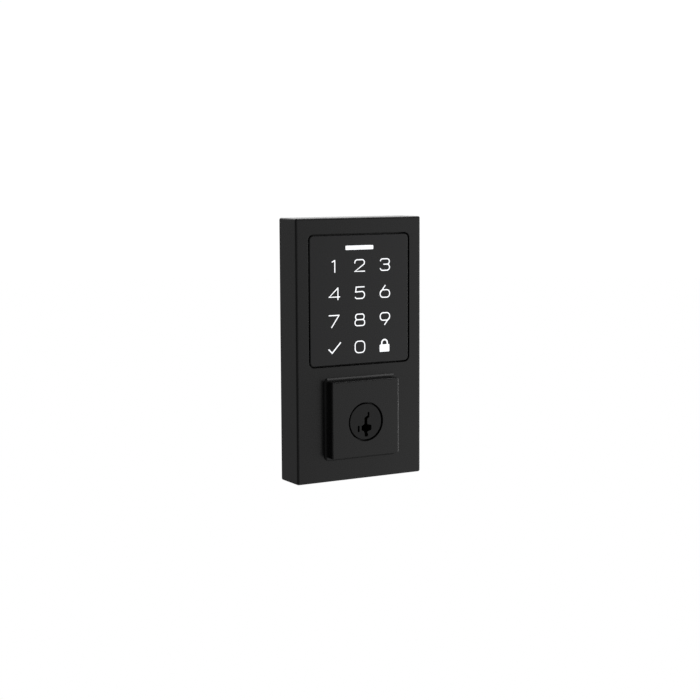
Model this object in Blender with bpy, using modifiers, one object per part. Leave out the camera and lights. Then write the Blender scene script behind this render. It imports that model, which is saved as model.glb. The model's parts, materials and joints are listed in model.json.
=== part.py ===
"""Keypad smart lock: the outside half of an electronic deadbolt, as separate pieces.

Metres, +Z up. The origin is the middle of the door face of the rear gasket. +Y points into the door
and the keypad looks along -Y. The key cylinder's axis is parallel to Y.
"""

import math
from collections import namedtuple

import bmesh
import bpy
from mathutils import Matrix, Vector

ScrewSize = namedtuple("ScrewSize", "head_radius head_height shank_radius tip_y")
SpringSize = namedtuple("SpringSize", "radius wire turns")  # to the wire's centre, and its radius

# --- driving dimensions -----------------------------------------------------------------------
GAP = 0.0003  # clearance between pieces that rest on, or in, each other
SEAT = 0.0001  # clearance under a small component on the circuit board
OVERLAP = 0.0005  # how far a joined shape runs into its neighbour
PAST = 0.004  # how far a cutter runs past the face it opens
NEAR = 0.000001  # two places closer than this are the same place

HOUSING_WIDTH = 0.0687
HOUSING_HEIGHT = 0.1260
FACE_Y = -0.0169  # front face of the housing
HOUSING_REAR_Y = -0.0004  # the gasket stands this far behind the rim
SIDE_WALL = 0.0024
FACE_WALL = 0.0030
WINDOW_WALL_REAR_Y = -0.0122  # the front wall is thicker round the panel window
HOUSING_EDGE = 0.0010

PANEL_WIDTH = 0.0542
PANEL_HEIGHT = 0.0618
PANEL_Z = 0.0239
PANEL_CORNER = 0.0021
PANEL_THICKNESS = 0.0021
PANEL_EDGE = 0.00045
PANEL_MARGIN = 0.0006  # groove between the panel and the housing
WINDOW_WIDTH = 0.0496
WINDOW_HEIGHT = 0.0572
WINDOW_CORNER = 0.0015
SEAL_INSET = 0.0005
SEAL_WALL = 0.0015
SEAL_THICKNESS = 0.0006
GUIDE_THICKNESS = 0.0014
GUIDE_INSET = 0.0004
BOARD_WIDTH = 0.0540
BOARD_HEIGHT = 0.0616
BOARD_Z = 0.0222
BOARD_THICKNESS = 0.0014
BOARD_CORNER = 0.0010
BOARD_ROOM = 0.0010  # between the board's lower edge and the step in the front wall

LEGEND_PITCH_X = 0.0140
LEGEND_PITCH_Z = 0.0130
LEGEND_TOP_Z = 0.0401
LEGEND_ROWS = 4
STATUS_WIDTH = 0.0152
STATUS_HEIGHT = 0.0019
STATUS_Z = 0.04865
STATUS_MARGIN = 0.00015
STATUS_CORNER = 0.0003
LIGHT_HEIGHT = 0.0007
CHIP_SIZE = 0.0070
CHIP_HEIGHT = 0.0010
CHIP_X = -0.0100
BUZZER_X = 0.0120
BUZZER_HEIGHT = 0.0029
COMPONENTS_Z = 0.0200  # height of the chip and the buzzer on the board
HEADER_Z = -0.0028
HEADER_WIDTH = 0.0120
HEADER_DEPTH = 0.0046
HEADER_HEIGHT = 0.0038
HEADER_FLOOR = 0.0010

GUARD_SIZE = 0.0368
GUARD_Z = -0.0328
GUARD_HEIGHT = 0.0055  # how far it stands in front of the housing
GUARD_EDGE = 0.0006
GUARD_FOOT_WIDTH = 0.0015  # how far its foot stands out all round
GUARD_FOOT_HEIGHT = 0.0008
GUARD_FOOT_CHAMFER = 0.0007
GUARD_LIP = 0.0022  # depth of the narrow front part of its bore
NECK_SIZE = 0.0288  # the guard's square neck, which passes through the housing
NECK_CORNER = 0.0008

AXIS_Z = -0.0344  # height of the key cylinder's axis
PLUG_RADIUS = 0.0085
PLUG_HEAD_RADIUS = 0.0087
PLUG_FRONT_SINK = 0.0003  # the plug's face sits this far behind the guard's
PLUG_NECK_RADIUS = 0.0076  # behind the body, inside the retainer
PLUG_REAR_Y = 0.0134
PLUG_CHAMFER = 0.0005
PLUG_HOLE_RADIUS = 0.0095
TOOL_SLOT_X = -0.0039  # the small slot beside the keyway
TOOL_SLOT_WIDTH = 0.0010
TOOL_SLOT_BOTTOM_Z = -0.0048
TOOL_SLOT_TOP_Z = -0.0017
TOOL_SLOT_DEPTH = 0.0090
BODY_BORE_RADIUS = 0.0087
BODY_RADIUS = 0.0126
BODY_REAR_Y = 0.0124
FLANGE_SIZE = 0.0360
FLANGE_THICKNESS = 0.0024
FLANGE_CORNER = 0.0030
CYLINDER_SCREW_OFFSET = 0.0116

PIN_COUNT = 5
FIRST_PIN_DEPTH = 0.0063  # from the plug's face, as on a common house key
PIN_PITCH = 0.00381
PIN_RADIUS = 0.0011
PIN_CHAMBER_RADIUS = 0.00135
PIN_TRAVEL = 0.0025
PIN_REST_Z = -0.0016  # above the cylinder's axis, as are the other heights inside the plug
PIN_LENGTH = 0.0042
WAFER_LEFT = 0.00155
WAFER_RIGHT = 0.0047
WAFER_BOTTOM_Z = -0.0008
WAFER_TOP_Z = 0.0025
WAFER_HALF = 0.0006
COVER_BOTTOM_Z = 0.0070
COVER_HALF = 0.0014
COVER_THICKNESS = 0.0010
SIDE_BAR_Z = 0.0013
SIDE_BAR_HALF = 0.0012
SIDE_BAR_LEFT = 0.0053
SIDE_BAR_RIGHT = 0.0080
SIDE_BAR_FRONT_Y = -0.0185
SIDE_BAR_REAR_Y = 0.0027
SIDE_SPRING_INSET = 0.0009
SIDE_POCKET_RADIUS = 0.00075
SIDE_POCKET_LEFT = 0.0026

TAIL_END_Y = 0.055
BLADE_WIDTH = 0.0070
BLADE_THICKNESS = 0.0024
BLADE_ROOT_Y = 0.0122  # the blade starts inside the tailpiece's head, clear behind the lug
RECESS_FLOOR_Y = 0.0098
RECESS_RADIUS = 0.0054
LUG_INNER_RADIUS = 0.0028
LUG_CENTRE = -90  # degrees, from +X towards +Z
LUG_HALF = 45
LUG_START = 2  # degrees between the lug and the tailpiece's trailing edge at rest
HEAD_RADIUS = 0.0051
HEAD_HALF = 88
HUB_RADIUS = 0.0024
RETAINER_RADIUS = 0.0102
RETAINER_HOLE_RADIUS = 0.0042
RETAINER_THICKNESS = 0.0011

PLATE_REAR_Y = -0.0017
PLATE_THICKNESS = 0.0012
PLATE_CORNER = 0.0010
PLATE_BODY_MARGIN = 0.0008  # round the cylinder body
PLATE_CABLE_MARGIN = 0.0015  # round the cable outlet
PLATE_SCREW_X = 0.0286
PLATE_SCREW_Z = 0.0572
COLUMN_RADIUS = 0.0037  # of the housing's columns for the plate screws
GASKET_THICKNESS = 0.0014
GASKET_CORNER = 0.0015
GASKET_BODY_MARGIN = 0.0012
GASKET_CABLE_MARGIN = 0.0028
CARRIER_WALL = 0.0012
CARRIER_FLOOR_Y = -0.0068
CARRIER_REAR_Y = -0.0056
CARRIER_BOSS_X = 0.0299
CARRIER_BOSSES_Z = (0.0460, 0.0)
CARRIER_BOSS_RADIUS = 0.0022
CARRIER_EAR_X = 0.0314
CARRIER_EAR_HALF = 0.0024
CARRIER_EAR_THICKNESS = 0.0014

PLATE_SCREW = ScrewSize(0.0021, 0.0013, 0.0011, -0.0092)
CARRIER_SCREW = ScrewSize(0.0016, 0.0011, 0.0009, -0.0140)
CYLINDER_SCREW = ScrewSize(0.0022, 0.0014, 0.0011, -0.0184)
PIN_SPRING = SpringSize(0.00082, 0.00016, 5)
SIDE_SPRING = SpringSize(0.00048, 0.00012, 4)
SCREW_CLEARANCE = 0.0003  # between a shank and its hole
TIP_CLEARANCE = 0.0006  # between a screw's tip and the end of its hole

POST_X = 0.0203
POST_RADIUS = 0.0032
POST_BORE_RADIUS = 0.0021
POST_COLLAR_RADIUS = 0.0048
POST_COLLAR_THICKNESS = 0.0018
POST_END_Y = 0.018
CABLE_Z = -0.0120  # centre of the cable outlet
CABLE_WIDTH = 0.0094
CABLE_HEIGHT = 0.0054
CABLE_CORNER = 0.0012

ROUND = 40  # sides of a large round piece
SMALL_ROUND = 16  # sides of a screw or a pin

# --- places worked out from the driving dimensions ---------------------------------------------
GUARD_FRONT_Y = FACE_Y - GUARD_HEIGHT
GUARD_BORE_FRONT_Y = GUARD_FRONT_Y + GUARD_LIP
PLUG_FRONT_Y = GUARD_FRONT_Y + PLUG_FRONT_SINK
BODY_FRONT_Y = GUARD_BORE_FRONT_Y + GAP
FLANGE_FRONT_Y = FACE_Y + FACE_WALL + GAP
FLANGE_REAR_Y = FLANGE_FRONT_Y + FLANGE_THICKNESS
PANEL_REAR_Y = FACE_Y + PANEL_THICKNESS
SEAL_FRONT_Y = PANEL_REAR_Y + GAP
LEDGE_Y = SEAL_FRONT_Y + SEAL_THICKNESS + GAP
GUIDE_FRONT_Y = PANEL_REAR_Y + GAP
GUIDE_REAR_Y = GUIDE_FRONT_Y + GUIDE_THICKNESS
BOARD_FRONT_Y = WINDOW_WALL_REAR_Y + GAP
BOARD_REAR_Y = BOARD_FRONT_Y + BOARD_THICKNESS
COMPONENT_FRONT_Y = BOARD_REAR_Y + SEAT
CARRIER_EAR_FRONT_Y = BOARD_REAR_Y + 2 * GAP
CARRIER_EAR_REAR_Y = CARRIER_EAR_FRONT_Y + CARRIER_EAR_THICKNESS
PLATE_FRONT_Y = PLATE_REAR_Y - PLATE_THICKNESS
CAVITY_WIDTH = HOUSING_WIDTH - 2 * SIDE_WALL
CAVITY_HEIGHT = HOUSING_HEIGHT - 2 * SIDE_WALL
GASKET_WIDTH = CAVITY_WIDTH - 2 * GAP
GASKET_HEIGHT = CAVITY_HEIGHT - 2 * GAP
PLATE_WIDTH = CAVITY_WIDTH - 4 * GAP
PLATE_HEIGHT = CAVITY_HEIGHT - 4 * GAP
HEAD_CENTRE = LUG_CENTRE + LUG_HALF + LUG_START + HEAD_HALF
PIN_YS = tuple(PLUG_FRONT_Y + FIRST_PIN_DEPTH + i * PIN_PITCH for i in range(PIN_COUNT))


# --- scene and materials -----------------------------------------------------------------------
def clear_scene():
    for obj in list(bpy.data.objects):
        bpy.data.objects.remove(obj)


def new_collection(name):
    collection = bpy.data.collections.new(name)
    bpy.context.scene.collection.children.link(collection)
    return collection


def new_material(name, colour, roughness, metallic=0.0):
    material = bpy.data.materials.new(name)
    material.use_nodes = True
    shader = material.node_tree.nodes["Principled BSDF"]
    shader.inputs["Base Color"].default_value = (*colour, 1.0)
    shader.inputs["Roughness"].default_value = roughness
    shader.inputs["Metallic"].default_value = metallic
    return material


clear_scene()
PARTS = new_collection("keypad_smart_lock")
CUTTERS = new_collection("cutters")
CUTTERS.hide_render = True

BLACK_PAINT = new_material("black_paint", (0.020, 0.020, 0.021), 0.42, 0.2)
PANEL_BLACK = new_material("panel_black", (0.024, 0.024, 0.026), 0.30)
LIGHT_WHITE = new_material("light_white", (0.90, 0.91, 0.92), 0.35)
PLUG_BLACK = new_material("plug_black", (0.024, 0.024, 0.025), 0.36, 0.5)
STEEL = new_material("steel", (0.55, 0.56, 0.57), 0.32, 1.0)
BRASS = new_material("brass", (0.72, 0.55, 0.26), 0.34, 1.0)
ZINC = new_material("zinc", (0.50, 0.51, 0.52), 0.42, 1.0)
BOARD_GREEN = new_material("board_green", (0.02, 0.12, 0.06), 0.45)
CHIP_BLACK = new_material("chip_black", (0.03, 0.03, 0.03), 0.50)
HEADER_WHITE = new_material("header_white", (0.80, 0.79, 0.74), 0.50)
CARRIER_GREY = new_material("carrier_grey", (0.10, 0.10, 0.11), 0.55)
RUBBER_BLACK = new_material("rubber_black", (0.025, 0.025, 0.025), 0.80)
CLEAR = new_material("clear_acrylic", (0.85, 0.88, 0.90), 0.20)


# --- modelling helpers -------------------------------------------------------------------------
def add_object(name, mesh, material, hidden=False):
    obj = bpy.data.objects.new(name, mesh)
    if hidden:
        CUTTERS.objects.link(obj)
        obj.hide_render = True
        obj.display_type = "WIRE"
    else:
        mesh.materials.clear()
        mesh.materials.append(material)
        PARTS.objects.link(obj)
    return obj


def evaluated_mesh(obj, name):
    """The object's mesh with its modifiers or its curve worked out, welded and facing out."""
    bpy.context.view_layer.update()
    graph = bpy.context.evaluated_depsgraph_get()
    mesh = bpy.data.meshes.new_from_object(obj.evaluated_get(graph))
    mesh.transform(obj.matrix_world)
    mesh.name = name
    shape = bmesh.new()
    shape.from_mesh(mesh)
    bmesh.ops.remove_doubles(shape, verts=shape.verts, dist=NEAR)
    bmesh.ops.recalc_face_normals(shape, faces=shape.faces)
    shape.to_mesh(mesh)
    shape.free()
    bpy.data.objects.remove(obj)
    return mesh


def box_mesh(low, high):
    """A box between two corners."""
    size = Vector(high) - Vector(low)
    middle = (Vector(high) + Vector(low)) / 2
    place = Matrix.Translation(middle) @ Matrix.Diagonal((*size, 1.0))
    shape = bmesh.new()
    bmesh.ops.create_cube(shape, size=1.0, matrix=place)
    mesh = bpy.data.meshes.new("box")
    shape.to_mesh(mesh)
    shape.free()
    return mesh


def bevel_edges(mesh, chosen, radius, segments):
    """Rounds the edges for which chosen(edge) is true."""
    shape = bmesh.new()
    shape.from_mesh(mesh)
    edges = [edge for edge in shape.edges if chosen(edge)]
    bmesh.ops.bevel(
        shape, geom=edges, offset=radius, segments=segments, profile=0.5, affect="EDGES", clamp_overlap=True
    )
    shape.to_mesh(mesh)
    shape.free()
    return mesh


def front_bevel(mesh, radius, segments):
    """Rounds the front rim and the edges that run back from it, and leaves the rear rim sharp."""
    rear = max(v.co.y for v in mesh.vertices)
    return bevel_edges(mesh, lambda edge: min(v.co.y for v in edge.verts) < rear - NEAR, radius, segments)


def front_rim_bevel(mesh, radius, segments):
    """Rounds only the rim of the front face."""
    front = min(v.co.y for v in mesh.vertices)

    def on_rim(edge):
        in_front = all(v.co.y < front + NEAR for v in edge.verts)
        return in_front and any(abs(face.normal.y) < 0.5 for face in edge.link_faces)

    return bevel_edges(mesh, on_rim, radius, segments)


def box(name, low, high, material=None, hidden=False):
    return add_object(name, box_mesh(low, high), material, hidden)


def rounded_outline(width, height, radius, steps=4):
    """Points round a rectangle with round corners, centred on 0, anticlockwise."""
    points = []
    for quarter in range(4):
        sign_x = (1, -1, -1, 1)[quarter]
        sign_z = (1, 1, -1, -1)[quarter]
        centre = (sign_x * (width / 2 - radius), sign_z * (height / 2 - radius))
        for step in range(steps + 1):
            angle = math.pi / 2 * (quarter + step / steps)
            points.append((centre[0] + radius * math.cos(angle), centre[1] + radius * math.sin(angle)))
    return points


def ring_outline(radius, sides):
    return [
        (radius * math.cos(2 * math.pi * i / sides), radius * math.sin(2 * math.pi * i / sides))
        for i in range(sides)
    ]


def extruded_mesh(outlines, front_y, rear_y, centre=(0.0, 0.0)):
    """A flat outline in X and Z, with any inner outlines as holes, extruded along Y."""
    curve = bpy.data.curves.new("outline", "CURVE")
    curve.dimensions = "2D"
    curve.fill_mode = "BOTH"
    curve.extrude = (rear_y - front_y) / 2
    for outline in outlines:
        spline = curve.splines.new("POLY")
        spline.points.add(len(outline) - 1)
        for point, (x, z) in zip(spline.points, outline):
            point.co = (x + centre[0], z + centre[1], 0.0, 1.0)
        spline.use_cyclic_u = True
    obj = bpy.data.objects.new("outline", curve)
    obj.matrix_world = Matrix.Translation((0, (front_y + rear_y) / 2, 0)) @ Matrix.Rotation(
        math.pi / 2, 4, "X"
    )
    bpy.context.scene.collection.objects.link(obj)
    return evaluated_mesh(obj, "extrusion")


def extrusion(name, outlines, front_y, rear_y, material=None, centre=(0.0, 0.0), hidden=False):
    return add_object(name, extruded_mesh(outlines, front_y, rear_y, centre), material, hidden)


def turned_mesh(profile, sides, closed=False):
    """A profile of (radius, height) turned about Z."""
    mesh = bpy.data.meshes.new("profile")
    count = len(profile)
    edges = [(i, i + 1) for i in range(count - 1)]
    if closed:
        edges.append((count - 1, 0))
    mesh.from_pydata([(radius, 0.0, height) for radius, height in profile], edges, [])
    obj = bpy.data.objects.new("profile", mesh)
    bpy.context.scene.collection.objects.link(obj)
    screw = obj.modifiers.new("turn", "SCREW")
    screw.steps = sides
    screw.render_steps = sides
    screw.use_merge_vertices = True
    screw.merge_threshold = 0.00001
    return evaluated_mesh(obj, "turned")


def along_y(x=0.0, z=AXIS_Z):
    """Turns a piece made about Z so that its height runs along +Y, through (x, z)."""
    return Matrix.Translation((x, 0, z)) @ Matrix.Rotation(-math.pi / 2, 4, "X")


def along_x(y, z):
    """Turns a piece made about Z so that its height runs along +X, through (y, z)."""
    return Matrix.Translation((0, y, z)) @ Matrix.Rotation(math.pi / 2, 4, "Y")


def turned(name, profile, material=None, sides=ROUND, place=None, closed=False, hidden=False):
    mesh = turned_mesh(profile, sides, closed)
    mesh.transform(place or along_y())
    return add_object(name, mesh, material, hidden)


def rod(name, radius, start, end, material=None, sides=SMALL_ROUND, place=None, hidden=False):
    profile = [(0, end), (radius, end), (radius, start), (0, start)]
    return turned(name, profile, material, sides, place, hidden=hidden)


def boolean(obj, other, operation):
    modifier = obj.modifiers.new(other.name, "BOOLEAN")
    modifier.operation = operation
    modifier.solver = "EXACT"
    modifier.object = other
    return obj


def cut(obj, *others):
    for other in others:
        boolean(obj, other, "DIFFERENCE")
    return obj


def join(obj, *others):
    for other in others:
        boolean(obj, other, "UNION")
    return obj


def smooth(obj, degrees=35):
    obj.data.shade_smooth()
    obj.data.set_sharp_from_angle(angle=math.radians(degrees))
    return obj


def hinge_empty(name, location, parent=None):
    empty = bpy.data.objects.new(name, None)
    empty.location = location
    empty.empty_display_size = 0.005
    PARTS.objects.link(empty)
    if parent is not None:
        empty.parent = parent
        empty.matrix_parent_inverse = Matrix.Translation(-Vector(parent.location))
    return empty


def carry(empty, origin, *objects):
    """Parents pieces to an empty at origin without moving them."""
    for obj in objects:
        obj.parent = empty
        obj.matrix_parent_inverse = Matrix.Translation(-Vector(origin))


def corner_signs():
    return ((-1, 1), (1, 1), (-1, -1), (1, -1))


def plate_screw_places():
    return [(sx * PLATE_SCREW_X, sz * PLATE_SCREW_Z) for sx, sz in corner_signs()]


def carrier_screw_places():
    return [(side * CARRIER_BOSS_X, z) for z in CARRIER_BOSSES_Z for side in (-1, 1)]


def cylinder_screw_places():
    """Two opposite corners of the flange."""
    return [(side * CYLINDER_SCREW_OFFSET, AXIS_Z - side * CYLINDER_SCREW_OFFSET) for side in (-1, 1)]


def screw_hole(name, size, x, z, rear_y=PAST):
    """The cutter for a screw's clear hole, from just beyond its tip to rear_y."""
    radius = size.shank_radius + SCREW_CLEARANCE
    return rod(name, radius, size.tip_y - TIP_CLEARANCE, rear_y, None, 12, along_y(x, z), True)


# --- housing -----------------------------------------------------------------------------------
def make_front_housing():
    half_x = HOUSING_WIDTH / 2
    half_z = HOUSING_HEIGHT / 2
    mesh = box_mesh((-half_x, FACE_Y, -half_z), (half_x, HOUSING_REAR_Y, half_z))
    housing = add_object("front_housing", front_bevel(mesh, HOUSING_EDGE, 3), BLACK_PAINT)
    inner_x = CAVITY_WIDTH / 2
    inner_z = CAVITY_HEIGHT / 2
    lower_top = BOARD_Z - BOARD_HEIGHT / 2 - BOARD_ROOM
    cut(
        housing,
        box("cut_cavity", (-inner_x, WINDOW_WALL_REAR_Y, -inner_z), (inner_x, PAST, inner_z), hidden=True),
        box(
            "cut_lower_cavity",
            (-inner_x, FACE_Y + FACE_WALL, -inner_z),
            (inner_x, PAST, lower_top),
            hidden=True,
        ),
    )
    add_housing_bosses(housing)
    recess = rounded_outline(
        PANEL_WIDTH + 2 * PANEL_MARGIN, PANEL_HEIGHT + 2 * PANEL_MARGIN, PANEL_CORNER + PANEL_MARGIN
    )
    window = rounded_outline(WINDOW_WIDTH, WINDOW_HEIGHT, WINDOW_CORNER, 2)
    neck_hole = rounded_outline(NECK_SIZE + 2 * GAP, NECK_SIZE + 2 * GAP, NECK_CORNER, 2)
    front = FACE_Y - PAST
    through = WINDOW_WALL_REAR_Y + OVERLAP
    cut(
        housing,
        extrusion("cut_recess", [recess], front, LEDGE_Y, None, (0, PANEL_Z), True),
        extrusion("cut_window", [window], front, through, None, (0, PANEL_Z), True),
        extrusion("cut_neck_hole", [neck_hole], front, through, None, (0, AXIS_Z), True),
    )
    return smooth(housing)


def add_housing_bosses(housing):
    """Columns for the back plate's screws in the corners, and short ones for the board carrier's."""
    for number, (x, z) in enumerate(plate_screw_places(), 1):
        front = FACE_Y + FACE_WALL - OVERLAP
        rear = PLATE_FRONT_Y - GAP
        column = rod(f"add_column_{number}", COLUMN_RADIUS, front, rear, None, 20, along_y(x, z), True)
        join(housing, column)
        cut(housing, screw_hole(f"cut_column_{number}", PLATE_SCREW, x, z))
    for number, (x, z) in enumerate(carrier_screw_places(), 1):
        front = WINDOW_WALL_REAR_Y - OVERLAP
        rear = CARRIER_EAR_FRONT_Y - GAP
        boss = rod(f"add_boss_{number}", CARRIER_BOSS_RADIUS, front, rear, None, 16, along_y(x, z), True)
        join(housing, boss)
        cut(housing, screw_hole(f"cut_boss_{number}", CARRIER_SCREW, x, z))


# --- touch panel and electronics ---------------------------------------------------------------
def make_touch_panel():
    """A moulded panel with a rounded front edge, and the status light's lens in its slot."""
    outline = rounded_outline(PANEL_WIDTH, PANEL_HEIGHT, PANEL_CORNER)
    mesh = extruded_mesh([outline], FACE_Y, PANEL_REAR_Y, (0, PANEL_Z))
    panel = add_object("touch_panel", front_rim_bevel(mesh, PANEL_EDGE, 2), PANEL_BLACK)
    slot = rounded_outline(
        STATUS_WIDTH + 2 * STATUS_MARGIN, STATUS_HEIGHT + 2 * STATUS_MARGIN, STATUS_CORNER + STATUS_MARGIN, 2
    )
    cut(panel, extrusion("cut_status", [slot], FACE_Y - PAST, 0.0, None, (0, STATUS_Z), True))
    lens = rounded_outline(STATUS_WIDTH, STATUS_HEIGHT, STATUS_CORNER, 2)
    extrusion("status_light_lens", [lens], FACE_Y, PANEL_REAR_Y, LIGHT_WHITE, (0, STATUS_Z))
    return smooth(panel)


def make_panel_seal():
    width = PANEL_WIDTH - 2 * SEAL_INSET
    height = PANEL_HEIGHT - 2 * SEAL_INSET
    outer = rounded_outline(width, height, PANEL_CORNER, 3)
    inner = rounded_outline(width - 2 * SEAL_WALL, height - 2 * SEAL_WALL, PANEL_CORNER / 2, 2)
    rear = SEAL_FRONT_Y + SEAL_THICKNESS
    extrusion("panel_seal", [outer, inner], SEAL_FRONT_Y, rear, RUBBER_BLACK, (0, PANEL_Z))


def make_light_guide():
    width = WINDOW_WIDTH - 2 * GUIDE_INSET
    height = WINDOW_HEIGHT - 2 * GUIDE_INSET
    outline = rounded_outline(width, height, WINDOW_CORNER - GUIDE_INSET, 2)
    extrusion("light_guide", [outline], GUIDE_FRONT_Y, GUIDE_REAR_Y, CLEAR, (0, PANEL_Z))


def make_keypad_board():
    outline = rounded_outline(BOARD_WIDTH, BOARD_HEIGHT, BOARD_CORNER, 2)
    extrusion("keypad_board", [outline], BOARD_FRONT_Y, BOARD_REAR_Y, BOARD_GREEN, (0, BOARD_Z))
    make_lights()
    half = CHIP_SIZE / 2
    box(
        "controller_chip",
        (CHIP_X - half, COMPONENT_FRONT_Y, COMPONENTS_Z - half),
        (CHIP_X + half, COMPONENT_FRONT_Y + CHIP_HEIGHT, COMPONENTS_Z + half),
        CHIP_BLACK,
    )
    make_buzzer()
    make_cable_header()


def make_lights():
    """Two key lights to each row of the legend, between its columns, and one behind the status bar."""
    rear = BOARD_FRONT_Y - SEAT
    front = rear - LIGHT_HEIGHT
    half_x = 0.0010
    half_z = 0.0007
    status_half_x = 0.0016
    places = []
    for row in range(LEGEND_ROWS):
        for side in (-1, 1):
            places.append((side * LEGEND_PITCH_X / 2, LEGEND_TOP_Z - row * LEGEND_PITCH_Z))
    for number, (x, z) in enumerate(places, 1):
        low, high = (x - half_x, front, z - half_z), (x + half_x, rear, z + half_z)
        box(f"key_light_{number}", low, high, LIGHT_WHITE)
    low, high = STATUS_Z - half_z, STATUS_Z + half_z
    box("status_light", (-status_half_x, front, low), (status_half_x, rear, high), LIGHT_WHITE)


def make_buzzer():
    """A round buzzer with a sound hole in the middle of its rear face."""
    outer = 0.0050
    hole = 0.0010
    depth = 0.0012
    chamfer = 0.0004
    front = COMPONENT_FRONT_Y
    rear = front + BUZZER_HEIGHT
    profile = [
        (0, rear - depth),
        (hole, rear - depth),
        (hole, rear),
        (outer - chamfer, rear),
        (outer, rear - chamfer),
        (outer, front),
        (0, front),
    ]
    smooth(turned("buzzer", profile, CHIP_BLACK, 24, along_y(BUZZER_X, COMPONENTS_Z)))


def make_cable_header():
    """The socket for the interior half's cable: a shroud round a tongue that holds the contacts."""
    half_x = HEADER_WIDTH / 2
    half_z = HEADER_DEPTH / 2
    wall = 0.0007
    tongue_half = 0.0004
    front = COMPONENT_FRONT_Y
    rear = front + HEADER_HEIGHT
    floor = front + HEADER_FLOOR
    header = box(
        "cable_header", (-half_x, front, HEADER_Z - half_z), (half_x, rear, HEADER_Z + half_z), HEADER_WHITE
    )
    socket = box(
        "cut_header",
        (-half_x + wall, floor, HEADER_Z - half_z + wall),
        (half_x - wall, rear + PAST, HEADER_Z + half_z - wall),
        hidden=True,
    )
    cut(header, socket)
    tongue = box(
        "add_header_tongue",
        (-half_x + 2 * wall, floor - OVERLAP, HEADER_Z - tongue_half),
        (half_x - 2 * wall, rear - wall, HEADER_Z + tongue_half),
        hidden=True,
    )
    join(header, tongue)


def make_board_carrier():
    """A shallow tray behind the board, with four ears for its screws and a window for the header."""
    half_x = BOARD_WIDTH / 2
    low_z = BOARD_Z - BOARD_HEIGHT / 2
    high_z = BOARD_Z + BOARD_HEIGHT / 2
    wall = CARRIER_WALL
    front = BOARD_REAR_Y + GAP
    margin = 0.0007
    window_x = HEADER_WIDTH / 2 + margin
    window_z = HEADER_DEPTH / 2 + margin
    carrier = box("board_carrier", (-half_x, front, low_z), (half_x, CARRIER_REAR_Y, high_z), CARRIER_GREY)
    cut(
        carrier,
        box(
            "cut_carrier",
            (-half_x + wall, front - PAST, low_z + wall),
            (half_x - wall, CARRIER_FLOOR_Y, high_z - wall),
            hidden=True,
        ),
        box(
            "cut_carrier_window",
            (-window_x, front - PAST, HEADER_Z - window_z),
            (window_x, PAST, HEADER_Z + window_z),
            hidden=True,
        ),
    )
    for number, (x, z) in enumerate(carrier_screw_places(), 1):
        side = math.copysign(1, x)
        low_x, high_x = sorted((side * (half_x - OVERLAP), side * CARRIER_EAR_X))
        ear = box(
            f"add_ear_{number}",
            (low_x, CARRIER_EAR_FRONT_Y, z - CARRIER_EAR_HALF),
            (high_x, CARRIER_EAR_REAR_Y, z + CARRIER_EAR_HALF),
            hidden=True,
        )
        join(carrier, ear)
        cut(carrier, screw_hole(f"cut_ear_{number}", CARRIER_SCREW, x, z))
        make_screw(f"carrier_screw_{number}", CARRIER_SCREW, x, z, CARRIER_EAR_REAR_Y + SEAT)


def make_screw(name, size, x, z, seat_y):
    """A pan-head machine screw with a square socket, its head behind seat_y and its tip in front."""
    rear = seat_y + size.head_height
    bevel = 0.0003
    socket_share = 0.40  # of the head's radius, for half the socket's width
    depth_share = 0.6  # of the head's height
    profile = [
        (0, rear),
        (size.head_radius - bevel, rear),
        (size.head_radius, rear - bevel),
        (size.head_radius, seat_y),
        (size.shank_radius, seat_y),
        (size.shank_radius, size.tip_y + bevel),
        (size.shank_radius - bevel, size.tip_y),
        (0, size.tip_y),
    ]
    screw = turned(name, profile, STEEL, SMALL_ROUND, along_y(x, z))
    socket = size.head_radius * socket_share
    depth = size.head_height * depth_share
    cut(
        screw,
        box(
            f"cut_{name}",
            (x - socket, rear - depth, z - socket),
            (x + socket, rear + PAST, z + socket),
            hidden=True,
        ),
    )
    return smooth(screw)


# --- key cylinder ------------------------------------------------------------------------------
def make_cylinder_guard():
    """A square block on a low foot, with a neck through the housing and a bore for the cylinder."""
    half = GUARD_SIZE / 2
    foot_half = half + GUARD_FOOT_WIDTH
    foot_rear = FACE_Y - GAP
    foot_front = foot_rear - GUARD_FOOT_HEIGHT
    foot_low = (-foot_half, foot_front, GUARD_Z - foot_half)
    foot_high = (foot_half, foot_rear, GUARD_Z + foot_half)
    foot = box_mesh(foot_low, foot_high)
    guard = add_object("cylinder_guard", front_bevel(foot, GUARD_FOOT_CHAMFER, 1), BLACK_PAINT)
    block_rear = foot_front + OVERLAP
    block = box_mesh((-half, GUARD_FRONT_Y, GUARD_Z - half), (half, block_rear, GUARD_Z + half))
    join(guard, add_object("add_guard_block", front_bevel(block, GUARD_EDGE, 3), None, True))
    neck = rounded_outline(NECK_SIZE, NECK_SIZE, NECK_CORNER, 2)
    neck_rear = FACE_Y + FACE_WALL - GAP
    join(guard, extrusion("add_neck", [neck], FACE_Y - OVERLAP - GAP, neck_rear, None, (0, AXIS_Z), True))
    chamfer = 0.0003
    bore = [
        (0, PAST),
        (BODY_RADIUS + GAP, PAST),
        (BODY_RADIUS + GAP, GUARD_BORE_FRONT_Y),
        (PLUG_HOLE_RADIUS, GUARD_BORE_FRONT_Y),
        (PLUG_HOLE_RADIUS, GUARD_FRONT_Y + chamfer),
        (PLUG_HOLE_RADIUS + chamfer + PAST, GUARD_FRONT_Y - PAST),
        (0, GUARD_FRONT_Y - PAST),
    ]
    cut(guard, turned("cut_guard_bore", bore, None, 48, hidden=True))
    for number, (x, z) in enumerate(cylinder_screw_places(), 1):
        cut(guard, screw_hole(f"cut_guard_{number}", CYLINDER_SCREW, x, z))
    return smooth(guard)


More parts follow.
